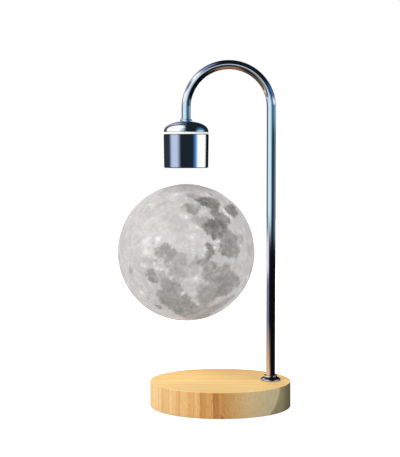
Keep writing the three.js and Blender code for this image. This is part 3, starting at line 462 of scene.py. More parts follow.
# Painted shade: the side darkens towards its far right edge, away from the key lamp.
rim_painted_shade = node(tree, "MapRange", {"Value": straight_x, "From Min": 0.066, "From Max": 0.072, "To Max": 0.2})
centre_dark = node(tree, "MapRange", {"Value": bent_x, "From Max": 0.03, "To Min": 0.72, "To Max": 0.3})
right_dark = node(tree, "Math", {0: past_arc, 1: 0.5, 2: centre_dark}, operation="MULTIPLY_ADD")
right_dark = node(tree, "Math", {0: right_dark, 1: rim_painted_shade})
side_dark = node(tree, "Mix", {0: on_right, 2: left_dark, 3: right_dark})
inputs = {"Value": bent_axes["Y"], "From Max": 0.07, "To Min": 0.1, "To Max": 0.3}
back_dark = node(tree, "MapRange", inputs)
streaks = node(tree, "TexNoise", {"W": ring_count, "Scale": 0.3, "Detail": 1.0}, noise_dimensions="1D")
streak_dark = node(tree, "MapRange", {"Value": streaks, "From Min": 0.35, "From Max": 0.7})
top_dark = node(tree, "Math", {0: streak_dark, 1: 0.45, 2: back_dark}, operation="MULTIPLY_ADD")
dark = node(tree, "Mix", {0: on_top, 2: side_dark, 3: top_dark})
ring_depth = node(tree, "MapRange", {"Value": on_right, "To Min": 0.6, "To Max": 0.25})
ring_depth = node(tree, "Math", {0: ring_depth, 1: on_top}, operation="MAXIMUM")
ring_dark = node(tree, "Math", {0: rings, 1: 0.5}, operation="SUBTRACT")
dark = node(tree, "Math", {0: ring_dark, 1: ring_depth, 2: dark}, operation="MULTIPLY_ADD")
dark = node(tree, "Math", {0: fibres, 1: 0.3, 2: dark}, operation="MULTIPLY_ADD")
dark = node(tree, "Math", {0: dark, 1: flecks})
dark = node(tree, "Math", {0: dark, 1: 0.14}, operation="SUBTRACT")
# Tones for the side, for the olive right of the side and for the top. The top's tones are set lighter than
# the side's as painted light, for the light that falls on the top.
wood_tints_and_top_light = [
    node(tree, "ValToRGB", {"Fac": dark}, tones)
    for tones in (
        ("f8d8a0", "dba65c", "a66a2f"), ("dacda4", "bfae84", "7f765a"), ("ffe8a6", "ffcf82", "e0a258"),
    )
]
to_green = node(tree, "MapRange", {"Value": bent_x, "From Max": 0.05})
side_colour = node(tree, "Mix", {0: to_green, 6: wood_tints_and_top_light[0], 7: wood_tints_and_top_light[1]}, data_type="RGBA")
wood_colour_and_top_light = node(tree, "Mix", {0: on_top, 6: side_colour.outputs[2], 7: wood_tints_and_top_light[2]}, data_type="RGBA")
rough = node(tree, "MapRange", {"Value": rings, "To Min": 0.38, "To Max": 0.52})
grain_bump = node(tree, "Bump", {"Height": fibres, "Strength": 0.12, "Distance": 0.0003})
finish = {"Base Color": wood_colour_and_top_light.outputs[2], "Roughness": rough, "Normal": grain_bump}
feed(tree, shader, {**finish, "Coat Weight": 0.25, "Coat Roughness": 0.22})
placed("base_wood", wood_mesh, pine, "stand", "pine", "base_body")


# The cover and pad under the base: moulded black ABS held by four screws, and a stuck-on disc of black
# foam rubber. The cover gives the eye a fine spark-eroded grain, and the pad a matt pebbled one.
def dressed(material, *names):
    """Gives solids that keep their own shape a finished material."""
    for name in names:
        for slot in frame["nodes"][name].material_slots:
            slot.material = material


def grained(name, kind, grain, tones, rough, bump=None, more=None, **settings):
    """A finish that follows one fine pattern: its tones, its roughness as one value or from low to high, its
    bump as a strength and a depth in metres, and the shader's other inputs."""
    material, tree, shader, position = surface(name)
    pattern = node(tree, kind, {"Vector": position, **grain}, **settings).outputs
    value = pattern.get("Fac") or pattern[0]
    if isinstance(rough, tuple):
        rough = node(tree, "MapRange", {"Value": value, "To Min": rough[0], "To Max": rough[1]})
    tone = node(tree, "ValToRGB", {"Fac": value}, tones)
    finish = {"Base Color": tone, "Roughness": rough, **(more or {})}
    if bump:
        finish["Normal"] = node(tree, "Bump", {"Height": value, "Strength": bump[0], "Distance": bump[1]})
    feed(tree, shader, finish)
    return material


abs_black, tree, shader, position = surface("moulded_black_abs")
grain = node(tree, "TexNoise", {"Vector": position, "Scale": 2500.0, "Detail": 2.0})
cloud = node(tree, "TexNoise", {"Vector": position, "Scale": 60.0})
tone = node(tree, "ValToRGB", {"Fac": cloud}, ("17181a", "232427"))
bump = node(tree, "Bump", {"Height": grain, "Strength": 0.25, "Distance": 0.0001})
rough = node(tree, "MapRange", {"Value": grain, "To Min": 0.38, "To Max": 0.55})
feed(tree, shader, {"Base Color": tone, "Roughness": rough, "Normal": bump})
pebbles, pebble_tones = {"Scale": 900.0}, ("1d1d1e", "101011")
foam_rubber = grained("pebbled_foam_rubber", "TexVoronoi", pebbles, pebble_tones, 0.9, (0.5, 0.0004))
dressed(abs_black, "base_cover")
dressed(foam_rubber, "base_pad")


# The screws: zinc-plated steel, four countersunk with a cross recess in the cover, and three pan heads with
# a hex socket that hold the magnet up in the head. They give the eye a pale blue-grey metal, dulled in
# patches.
def tree_of(name, *sizes):
    """A geometry tree with named inputs, and the sockets that bring them in."""
    made = bpy.data.node_groups.new(name, "GeometryNodeTree")
    made.interface.new_socket("Geometry", in_out="INPUT", socket_type="NodeSocketGeometry")
    for size in sizes:
        made.interface.new_socket(size, in_out="INPUT", socket_type="NodeSocketFloat")
    made.interface.new_socket("Material", in_out="INPUT", socket_type="NodeSocketMaterial")
    made.interface.new_socket("Geometry", in_out="OUTPUT", socket_type="NodeSocketGeometry")
    return made, node(made, "NodeGroupInput").outputs


def plain_end(tree, geometry, material):
    """Ends a geometry tree with plain faces of one material."""
    real = node(tree, "GeometryNodeRealizeInstances", {0: geometry})
    coated = node(tree, "GeometryNodeSetMaterial", {0: real, "Material": material})
    node(tree, "NodeGroupOutput", {0: coated})


def grown(tree, mesh, material, sizes, **values):
    """The plain mesh that a geometry tree makes from a mesh, its sizes in mm and its other values."""
    values.update({name: size * MM for name, size in sizes.items()}, Material=material)
    piece = show("grown", mesh)
    modifier = piece.modifiers.new("grown", "NODES")
    modifier.node_group = tree
    for item in tree.interface.items_tree:
        if item.in_out == "INPUT" and item.name in values:
            modifier[item.identifier] = values[item.name]
    return finished(evaluated(piece))


circle_tree, sizes = tree_of("copies_on_a_circle", "Count", "Radius", "Start", "X", "Y", "Z")
step = node(circle_tree, "Math", {0: 2 * math.pi, 1: sizes["Count"]}, operation="DIVIDE")
index = node(circle_tree, "GeometryNodeInputIndex")
angle = node(circle_tree, "Math", {0: index, 1: step, 2: sizes["Start"]}, operation="MULTIPLY_ADD")
place = {2: sizes["Z"]}
for at, (way, axis) in enumerate((("COSINE", "X"), ("SINE", "Y"))):
    share = node(circle_tree, "Math", {0: angle}, operation=way)
    inputs = {0: share, 1: sizes["Radius"], 2: sizes[axis]}
    place[at] = node(circle_tree, "Math", inputs, operation="MULTIPLY_ADD")
where = node(circle_tree, "CombineXYZ", place)
points = node(circle_tree, "GeometryNodePoints", {"Count": sizes["Count"], "Position": where})
facing = node(circle_tree, "CombineXYZ", {2: angle})
inputs = {"Points": points, "Instance": sizes["Geometry"], "Rotation": facing}
plain_end(circle_tree, node(circle_tree, "GeometryNodeInstanceOnPoints", inputs), sizes["Material"])

patches, metal = {"Scale": 400.0, "Detail": 4.0}, {"Metallic": 1}
zinc = grained("zinc_plated_steel", "TexNoise", patches, ("8f979e", "c3c8cc"), (0.22, 0.42), more=metal)


def cross_recess(depth, length, width):
    """The two arms of a tool for a cross recess, which open downwards from their narrow tops."""
    arms = []
    for across in ((length, width), (width, length)):
        shape = bmesh.new()
        for vertex in bmesh.ops.create_cube(shape, size=1)["verts"]:
            narrow = 0.5 if vertex.co.z > 0 else 1.0
            x, y = vertex.co.x * across[0] * narrow, vertex.co.y * across[1] * narrow
            vertex.co = (x * MM, y * MM, (depth if vertex.co.z > 0 else -0.5) * MM)
        arms.append(bpy.data.meshes.new("tool"))
        shape.to_mesh(arms[-1])
        shape.free()
    return arms


boss_circle, yoke_top = 17.8, 299.5
wood_screw_outline = [(0, 0), (2.45, 0), (2.6, 0.15), (1.45, 1.5), (1.45, 7.4), (0, 9)]
wood_screw = cut(lathe("wood_screw", wood_screw_outline, sides=32), *cross_recess(1.1, 3.0, 0.6))
pan_outline = rounded([(0, -1.8, 0), (2.4, -1.8, 0.9), (2.4, 0, 0), (1.5, 0, 0), (1.5, 8, 0.3), (0, 8, 0)])
pan_screw = cut(lathe("pan_screw", pan_outline, sides=32), drill(1.2, -3, -0.9, sides=6))
for name, screw, count, circle, start, (x, z), nodes in (
    ("cover_screws", wood_screw, 4, screw_circle, 0.25, (0, 2.3), "cover_screw_"),
    ("head_screws", pan_screw, 3, boss_circle, 0.5, (hang_x, yoke_top), "head_screw_"),
):
    in_mm = dict(Radius=circle, X=x, Y=0, Z=z)
    mesh = grown(circle_tree, screw, zinc, in_mm, Count=float(count), Start=start * math.pi)
    placed(name, mesh, zinc, "stand", "screw_steel", *[nodes + str(index + 1) for index in range(count)])

# The power socket at the back: a moulded black jack with a nickel-plated pin, its flange seated in a spot
# face in the wood, and two plated lugs behind. It gives the eye a dark mouth round a bright pin.
socket_body_radius, socket_flange_radius, socket_mouth = 5.6, 7.2, 1.5
socket_back, socket_bore, socket_bore_end = -15.0, 3.15, -7.5
socket_outline = rounded(
    [
        (0, socket_back, 0), (socket_body_radius, socket_back, 0.4), (socket_body_radius, 0.3, 0),
        (socket_flange_radius, 0.3, 0), (socket_flange_radius, socket_mouth, 0.4),
        (socket_bore + 0.9, socket_mouth, 0.1), (socket_bore, socket_mouth - 0.7, 0.1),
        (socket_bore, socket_bore_end, 0), (0, socket_bore_end, 0),
    ]
)
socket_mesh = lathe("socket_body", socket_outline, socket_place, 96, lying=True)
placed("socket_body", socket_mesh, abs_black, "stand", "black_plastic", "dc_socket")

smears = {"Scale": 250.0, "Detail": 3.0}
nickel = grained("nickel_plate", "TexNoise", smears, ("b9b7ae", "d8d6cd"), (0.16, 0.3), more=metal)
pin_outline = rounded([(0, -8, 0), (1, -8, 0), (1, 0.3, 0.5), (0.35, 0.3, 0), (0.35, -2, 0), (0, -2, 0)])
pin_mesh = lathe("socket_pin", pin_outline, socket_place, 48, lying=True)
placed("socket_pin", pin_mesh, nickel, "stand", "black_plastic", "dc_socket")


def slab(name, size, middle, edge=0.0):
    """A block of the given size in mm about its middle, with its edges broken."""
    shape = bmesh.new()
    bmesh.ops.create_cube(shape, size=1)
    for vertex in shape.verts:
        vertex.co = Vector(middle) + Vector([vertex.co[axis] * size[axis] for axis in range(3)])
    if edge:
        bmesh.ops.bevel(shape, geom=shape.edges, offset=edge, segments=2, affect="EDGES", profile=0.5)
    mesh = bpy.data.meshes.new(name)
    shape.to_mesh(mesh)
    shape.free()
    mesh.transform(Matrix.Scale(MM, 4))
    return finished(mesh)


for side, name in ((-1, "low"), (1, "high")):
    lug_height = socket_place[2] + side * 2.5
    lug_middle, eye_middle = [(0, socket_place[1] - back, lug_height) for back in (16.9, 17.6)]
    lug = cut(slab("lug", (2.4, 4.4, 0.8), lug_middle, 0.12), drill(0.6, -2, 2, eye_middle, sides=24))
    placed("socket_lug_" + name, lug, nickel, "stand", "black_plastic", "dc_socket")

# The charging coil: flat-wound from a bundle of fine enamelled strands, stuck on a disc of sintered
# ferrite under the wood. It gives the eye bright copper with fine lines, on a dull charcoal disc.
coil_x, coil_height, coil_inner, coil_pitch, coil_turns = -12.0, 23.1, 10.0, 2.2, 5.0
coil_tree, sizes = tree_of("flat_winding", "Inner", "Outer", "Turns", "Wide", "High", "Round", "X", "Z")
inputs = {"Rotations": sizes["Turns"], "Start Radius": sizes["Inner"], "End Radius": sizes["Outer"]}
spiral = node(coil_tree, "GeometryNodeCurveSpiral", {"Resolution": 72, "Height": 0.0, **inputs})
lift = node(coil_tree, "CombineXYZ", {0: sizes["X"], 2: sizes["Z"]})
lifted = node(coil_tree, "GeometryNodeTransform", {0: spiral, "Translation": lift})
inputs = {"Width": sizes["Wide"], "Height": sizes["High"]}
section = node(coil_tree, "GeometryNodeCurvePrimitiveQuadrilateral", inputs)
inputs = {0: section, "Count": 3, "Radius": sizes["Round"]}
section = node(coil_tree, "GeometryNodeFilletCurve", inputs, mode="POLY")
inputs = {0: lifted, "Profile Curve": section, "Fill Caps": True}
plain_end(coil_tree, node(coil_tree, "GeometryNodeCurveToMesh", inputs), sizes["Material"])

strands, tones = {"Scale": 628.0, "Distortion": 0.4}, ("8a4a22", "d98a50")
finish = (strands, tones, 0.3, (0.6, 0.0003), metal)
copper = grained("enamelled_copper_wire", "TexWave", *finish, bands_direction="Z")
in_mm = dict(Inner=coil_inner, Outer=coil_inner + coil_pitch * coil_turns, X=coil_x, Z=coil_height)
in_mm.update(Wide=1.0, High=1.2, Round=0.3)
coil_mesh = grown(coil_tree, bpy.data.meshes.new("charging_winding"), copper, in_mm, Turns=coil_turns)
placed("charging_winding", coil_mesh, copper, "stand", "copper_wire", "charging_coil")

specks, tones = {"Scale": 1800.0, "Detail": 3.0}, ("2c2d30", "4c4d50")
dressed(grained("sintered_ferrite", "TexNoise", specks, tones, 0.65, (0.3, 0.0002)), "charging_ferrite")


# The boards: glass-epoxy with green solder mask, on the cover's pillars, on the magnet's yoke and over the
# face. The mask shows the copper tracks under it as paler lines, and the parts on it are dark.
def board_finish(name, low, high):
    """Solder mask between two heights in mm, and dark parts above and below it."""
    material, tree, shader, position = surface(name)
    mask = {"Color1": linear("17593a"), "Color2": linear("1d6a46"), "Mortar": linear("3d8c62")}
    tracks = node(tree, "TexBrick", {"Vector": position, "Scale": 260.0, "Mortar Size": 0.04, **mask})
    grime = node(tree, "TexNoise", {"Vector": position, "Scale": 700.0})
    parts = node(tree, "ValToRGB", {"Fac": grime}, ("1c1d1f", "4a4b4d"))
    height = node(tree, "SeparateXYZ", {0: position}).outputs["Z"]
    above = node(tree, "Math", {0: height, 1: high * MM}, operation="GREATER_THAN")
    below = node(tree, "Math", {0: height, 1: low * MM}, operation="LESS_THAN")
    off = node(tree, "Math", {0: above, 1: below}, operation="MAXIMUM")
    colour = node(tree, "Mix", {0: off, 6: tracks, 7: parts}, data_type="RGBA").outputs[2]
    rough = node(tree, "MapRange", {"Value": off, "To Min": 0.3, "To Max": 0.55})
    feed(tree, shader, {"Base Color": colour, "Roughness": rough})
    return material


dressed(board_finish("charging_board_mask", 8.05, 9.75), "charging_board")
dressed(board_finish("head_board_mask", 303.45, 304.75), "head_board")
dressed(board_finish("sensor_board_mask", 269.65, 271), "sensor_board")

# The leads: the lead from the socket to its board and the cable up the tube, stranded copper in black PVC.
# It gives the eye a soft satin black with faint marks.
marks = {"Scale": 900.0, "Detail": 2.0}
pvc = grained("black_pvc_sheath", "TexNoise", marks, ("151617", "26272a"), (0.4, 0.6))
dressed(pvc, "power_lead", "arm_cable")
dressed(zinc, "arm_washer", "arm_nut", "head_washer", "head_nut")

# The arm: a 10 mm steel tube with a 1 mm wall, bent to a half circle, polished and bright chromed. It gives
# the eye a mirror that draws the studio out into lines along the tube, with hairline polishing marks.
tube_radius, tube_wall, arm_foot, arm_tip = 5.0, 1.0, 17.2, 305.3
leg_top, reach = 328.8, post_x - hang_x
arm_tree, sizes = tree_of("bent_tube", "Radius", "Bend", "Post", "Hang", "Foot", "Tip", "Top")
ends = (("Post", "Foot"), ("Post", "Top"), ("Hang", "Top"), ("Hang", "Tip"))
corners = {
    f"Point {at + 1}": node(arm_tree, "CombineXYZ", {0: sizes[along], 2: sizes[height]})
    for at, (along, height) in enumerate(ends)
}
line = node(arm_tree, "GeometryNodeCurvePrimitiveQuadrilateral", corners, mode="POINTS")
line = node(arm_tree, "GeometryNodeSetSplineCyclic", {0: line, "Cyclic": False})
inputs = {0: line, "Count": 90, "Radius": sizes["Bend"]}
line = node(arm_tree, "GeometryNodeFilletCurve", inputs, mode="POLY")
section = node(arm_tree, "GeometryNodeCurvePrimitiveCircle", {"Resolution": 96, "Radius": sizes["Radius"]})
swept = node(arm_tree, "GeometryNodeCurveToMesh", {0: line, "Profile Curve": section})
plain_end(arm_tree, swept, sizes["Material"])

chrome, tree, shader, position = surface("bright_chrome_plate")
smears = node(tree, "TexNoise", {"Vector": position, "Scale": 45.0, "Detail": 3.0})
rough = node(tree, "MapRange", {"Value": smears, "To Min": 0.03, "To Max": 0.07})
polish_place = node(tree, "Mapping", {"Vector": position, "Scale": (900, 900, 120)})
polish = node(tree, "TexNoise", {"Vector": polish_place, "Scale": 1.0, "Detail": 2.0})
bump = node(tree, "Bump", {"Height": polish, "Strength": 0.02, "Distance": 0.00005})
tone = node(tree, "ValToRGB", {"Fac": smears}, ("eceff2", "f7f8f9"))
feed(tree, shader, {"Base Color": tone, "Roughness": rough, "Normal": bump, **metal})

# Each bend is a hair under half the reach, so that the two bends never meet.
in_mm = dict(Radius=tube_radius, Bend=reach / 2 - 0.002, Post=post_x, Hang=hang_x)
in_mm.update(Foot=arm_foot, Tip=arm_tip, Top=leg_top + reach / 2)
tube_skin = grown(arm_tree, bpy.data.meshes.new("arm_tube_chrome"), chrome, in_mm)
tube_skin.materials.clear()
tube_skin.materials.append(chrome)
walled = show("walled", tube_skin)
wall = walled.modifiers.new("wall", "SOLIDIFY")
wall.thickness = tube_wall * MM
wall.offset = -1
tube_mesh = finished(evaluated(walled))
arm_tube = placed("arm_tube_chrome", tube_mesh, chrome, "stand", "chrome", "arm_tube")

# A small sheet of its own, straight ahead and a little high, draws a pale line on the tube.
turns, rises = np.meshgrid(np.arange(-24.0, 20.5, 1.0), np.arange(4.0, 24.0, 1.0))
line_light = light_of(card_cover(turns, rises, -14, 12, 8, 8.5, 16.5, 4), "d5dade")
lit_sheet("arm_card", studio_middle, 1400, turns, rises, line_light, arm_tube)

# The foot flange: turned from brass and chromed with the tube. Its rim is broken, and its top sweeps up in
# a hollow curve to a short neck round the post.
flange_bottom, bore = 29.3, 5.3
sweep_corners = ((10.4, 8.7, 7), (1.7, 3.2, 3.7))
sweep = [
    tuple((1 - t) ** 2 * start + 2 * t * (1 - t) * pull + t * t * end for start, pull, end in sweep_corners)
    for t in [step / 12 for step in range(1, 13)]
]
flange_outline = rounded([(bore, 0, 0), (10.9, 0, 0.5), (10.9, 1.7, 0.5), (9, 1.7, 0)])[:-1]
flange_outline += sweep + rounded([(7, 3.7, 0), (7, 5.7, 0.7), (bore, 5.7, 0.15), (bore, 0, 0)])[1:-1]
flange_place = (post_x, 0, flange_bottom)
flange_mesh = lathe("foot_flange", flange_outline, flange_place, 128)
flange = placed("foot_flange", flange_mesh, chrome, "stand", "chrome", "arm_flange")

# Two low lights of its own, left and right of the camera, on the flange's rim and neck.
turns, rises = np.meshgrid(np.arange(-100.0, 120.5, 2.0), np.arange(-36.0, -5.0, 1.0))
foot_cover = card_cover(turns, rises, -80, -16, 30, -30, -10, 4)
foot_cover += card_cover(turns, rises, 46, 98, 24, -30, -10, 4)
lit_sheet("foot_card", flange_place, 1300, turns, rises, light_of(foot_cover, "dbe6f2"), flange)

# The head's shell: a sleeve drawn from steel with a rolled lower corner, and a spun dome over it, both
# chromed. Three bosses in the dome hold up the magnet, and a small collar hides where the tube goes in.
head_face = 263.0
head_place = (hang_x, 0, head_face)
lip_radius, lip_height = 21.55, 1.5
sleeve_foot, sleeve_rim, sleeve_height, sleeve_wall = 24.15, 24.65, 36.5, 1.4
sleeve_outline = rounded(
    [
        (lip_radius, 0, 0.2), (sleeve_foot, 0, 1.3), (sleeve_rim, sleeve_height, 0.5),
        (sleeve_rim - sleeve_wall, sleeve_height, 0.2), (sleeve_foot - sleeve_wall, lip_height, 0),
        (lip_radius, lip_height, 0.2),
    ],
    10,
)
sleeve_mesh = lathe("head_sleeve_shell", sleeve_outline, head_place)
sleeve = placed("head_sleeve_shell", sleeve_mesh, chrome, "stand", "chrome", "head_sleeve")

# The sleeve has its own studio of upright cards, in the same columns as studio_cards.
sleeve_cards = (
    ("grey", -182, 182, 2, -92, 92, 2, "1c262e", 1.0),
    ("slate", -182, -96, 20, -92, 92, 2, "2c3640", 1.0),
    ("light", -86, -38, 26, -34, 34, 12, "c0ceeb", 1.0),
    ("blue", 44, 84, 24, -34, 34, 12, "5a9ae0", 1.0),
    ("strip", 58, 119, 16, -34, 34, 12, "ffffff", 1.1),
    ("black", 128, 182, 12, -92, 92, 2, "07151a", 1.0),
)
sleeve_light = cards_light(sleeve_cards, all_turns, all_rises)
lit_sheet("sleeve_walls", studio_middle, 1450, all_turns, all_rises, sleeve_light, sleeve)


def dome_line(radius, height, steps=40):
    """The dome's outline from its rim to its top, fuller at the shoulder than an ellipse."""
    fullness = 2 / 2.2
    angles = [step / steps * math.pi / 2 for step in range(steps + 1)]
    return [(radius * max(math.cos(a), 0) ** fullness, height * math.sin(a) ** fullness) for a in angles]


dome_radius, dome_height, dome_hollow, dome_hollow_height = 24.45, 11.6, 22.95, 10.1
dome_seat, seat_radius, spigot_seat = 9.4, 8.4, 2.3
dome_place = (hang_x, 0, head_face + 39.1)
inside = [
    (radius, height)
    for radius, height in dome_line(dome_hollow, dome_hollow_height)
    if radius > seat_radius and spigot_seat < height < dome_seat
]
dome_outline = [(0, dome_seat), (seat_radius, dome_seat), *reversed(inside), (dome_hollow, spigot_seat)]
dome_outline += [(dome_hollow, 0), (dome_radius - 0.2, 0), (dome_radius, 0.2)]
dome_outline += dome_line(dome_radius, dome_height)[2:]
dome_mesh = cut(lathe("head_dome_shell", dome_outline, dome_place), drill(bore, 0, 80, head_place))
dome = placed("head_dome_shell", dome_mesh, chrome, "stand", "chrome", "head_dome")

# The dome has its own studio too: a broad soft white light from the left to overhead with a bluish edge
# towards the camera, lavender along the back, and on the right a blue light that climbs and fades.
edge = -112 - 0.62 * all_rises
lit_part = soft_step(edge - 9, edge + 7, all_turns)
dome_light = light_of(1 - lit_part, "4b4f66") + light_of(lit_part, "1a242a")
broad = lit_part * (1 - soft_step(78, 88, all_rises))
past_white = soft_step(-44, -16, all_turns)
dome_light += light_of(broad * (1 - past_white), "f8faff") * 1.12
dome_light += light_of(broad * past_white * (1 - soft_step(-24, 4, all_turns)), "b4c8dc")
low_strip = soft_step(-178, -168, all_turns) * (1 - soft_step(-162, -154, all_turns))
low_strip *= soft_step(10, 20, all_rises) * (1 - soft_step(40, 56, all_rises))
dome_light += light_of(low_strip, "a9a9c4")
glow_middle = 76 + 0.42 * (all_rises - 6)
glow = soft_step(glow_middle - 34, glow_middle - 5, all_turns)
glow *= 1 - soft_step(glow_middle + 5, glow_middle + 42, all_turns)
glow_colours = ((5, "dafbff"), (8, "cdf4ff"), (15, "94bee0"), (28, "5684a8"), (42, "38587a"), (60, "000000"))
rungs = np.array([linear(colour)[:3] for _, colour in glow_colours])
ladder = [np.interp(all_rises, [rise for rise, _ in glow_colours], rungs[:, part]) for part in range(3)]
dome_light += glow[..., None] * np.stack(ladder, axis=-1)
lit_sheet("dome_walls", dome_place, 1200, all_turns, all_rises, dome_light, dome)
left_out = bpy.data.collections.new("studio_walls_not_seen_by")
for at, piece in enumerate((sleeve, dome)):
    left_out.objects.link(piece)
    left_out.collection_objects[at].light_linking.link_state = "EXCLUDE"
walls.light_linking.receiver_collection = left_out

boss_outline = [(0, 4, 0), (1.8, 4, 0), (1.8, -1, 0.1), (3, -1, 0.3), (3, 6.4, 0), (0, 6.4, 0)]
boss = lathe("boss", rounded(boss_outline), sides=32)
in_mm = dict(Radius=boss_circle, X=hang_x, Y=0, Z=dome_place[2])
bosses = grown(circle_tree, boss, zinc, in_mm, Count=3.0, Start=math.pi / 2)
placed("dome_bosses", bosses, zinc, "stand", "chrome", "head_dome")

collar_radius, collar_height = 6.6, 2
collar_outline = rounded(
    [
        (bore, 0, 0), (collar_radius, 0, 0.15), (collar_radius, collar_height, 0.6),
        (bore, collar_height, 0.1),
    ]
)
collar_mesh = lathe("head_collar_ring", collar_outline, (hang_x, 0, head_face + 51), 96)
placed("head_collar_ring", collar_mesh, chrome, "stand", "chrome", "head_collar")

# The seam ring and the ball's magnet housing: moulded white ABS. The ring parts the sleeve and the dome and
# centres both on its spigot. It gives the eye a bright satin line.
grain, tones = {"Scale": 1500.0, "Detail": 2.0}, ("f6f7f8", "ffffff")
abs_white = grained("moulded_white_abs", "TexNoise", grain, tones, 0.6, (0.05, 0.0001))
spigot_inside, spigot_outside, seam_height = 21.15, 22.35, 2
seam_outline = rounded(
    [
        (spigot_inside, -2, 0.2), (spigot_outside, -2, 0.2), (spigot_outside, 0, 0), (dome_radius, 0, 0.25),
        (dome_radius, seam_height, 0.25), (spigot_outside, seam_height, 0), (spigot_outside, 4, 0.2),
        (spigot_inside, 4, 0.2),
    ],
    4,
)
ring_mesh = lathe("seam_ring", seam_outline, (hang_x, 0, head_face + 36.8))
placed("seam_ring", ring_mesh, abs_white, "stand", "white_plastic", "head_ring")
dressed(abs_white, "module_housing")

# The face under the head: moulded black ABS, pushed up into the sleeve's lip from inside, with a rim above
# that carries the sensor board.
face_radius, face_flange, face_back, rim_outside, rim_inside, rim_top = 21.25, 22.45, 3.1, 22.15, 20.75, 6.1
face_outline = rounded(
    [
        (0, 0, 0), (face_radius, 0, 0.3), (face_radius, lip_height, 0), (face_flange, lip_height, 0.1),
        (face_flange, face_back, 0), (rim_outside, face_back, 0), (rim_outside, rim_top, 0.2),
        (rim_inside, rim_top, 0.2), (rim_inside, face_back, 0), (0, face_back, 0),
    ],
    4,
)
face_mesh = lathe("head_face_disc", face_outline, (hang_x, 0, head_face + 0.3), 128)
placed("head_face_disc", face_mesh, abs_black, "stand", "black_plastic", "head_face")

# The electromagnet: a turned soft-iron core and yoke, a nylon bobbin wound with enamelled copper, and a
# nickel-plated magnet under the core. The iron gives the eye fine turning marks, the nylon a milky cream.
marks, tones = {"Scale": 1200.0, "Distortion": 2.0}, ("5f6266", "85888c")
iron = grained("turned_soft_iron", "TexWave", marks, tones, 0.42, more=metal, bands_direction="Z")
cloud = {"Scale": 120.0, "Detail": 3.0}
nylon = grained("moulded_nylon", "TexNoise", cloud, ("d3cdbb", "e5e0d2"), 0.45)
dressed(iron, "magnet_core")
dressed(nylon, "magnet_bobbin")
dressed(copper, "magnet_winding", "transmitter_coil", "receiver_coil")
dressed(nickel, "bias_magnet", "levitation_magnet")

# The ball: a 150 mm shell printed in warm-white PLA, its tones and relief after a map of the moon whose
# face is mirrored and turned on its side. It is lit from inside, so it glows flat and grey, paler where the
# wall is thin, with the dark plains a little sunk. A plug in the top closes the port for the magnet.
ball_place = Vector((hang_x, 0, 170.3))
ball_radius, ball_inside, port_radius, plug_radius = 75.0, 73.4, 23.0, 22.7
relief, base_tone, plain_dark, plain_sink = 0.7, 0.785, 0.35, 0.9
face_turn = Matrix.Rotation(math.radians(114.7), 3, "Y") @ Matrix.Rotation(math.radians(-5.7), 3, "X")
face_turn = face_turn @ Matrix.Rotation(math.radians(-3.8), 3, "Z")

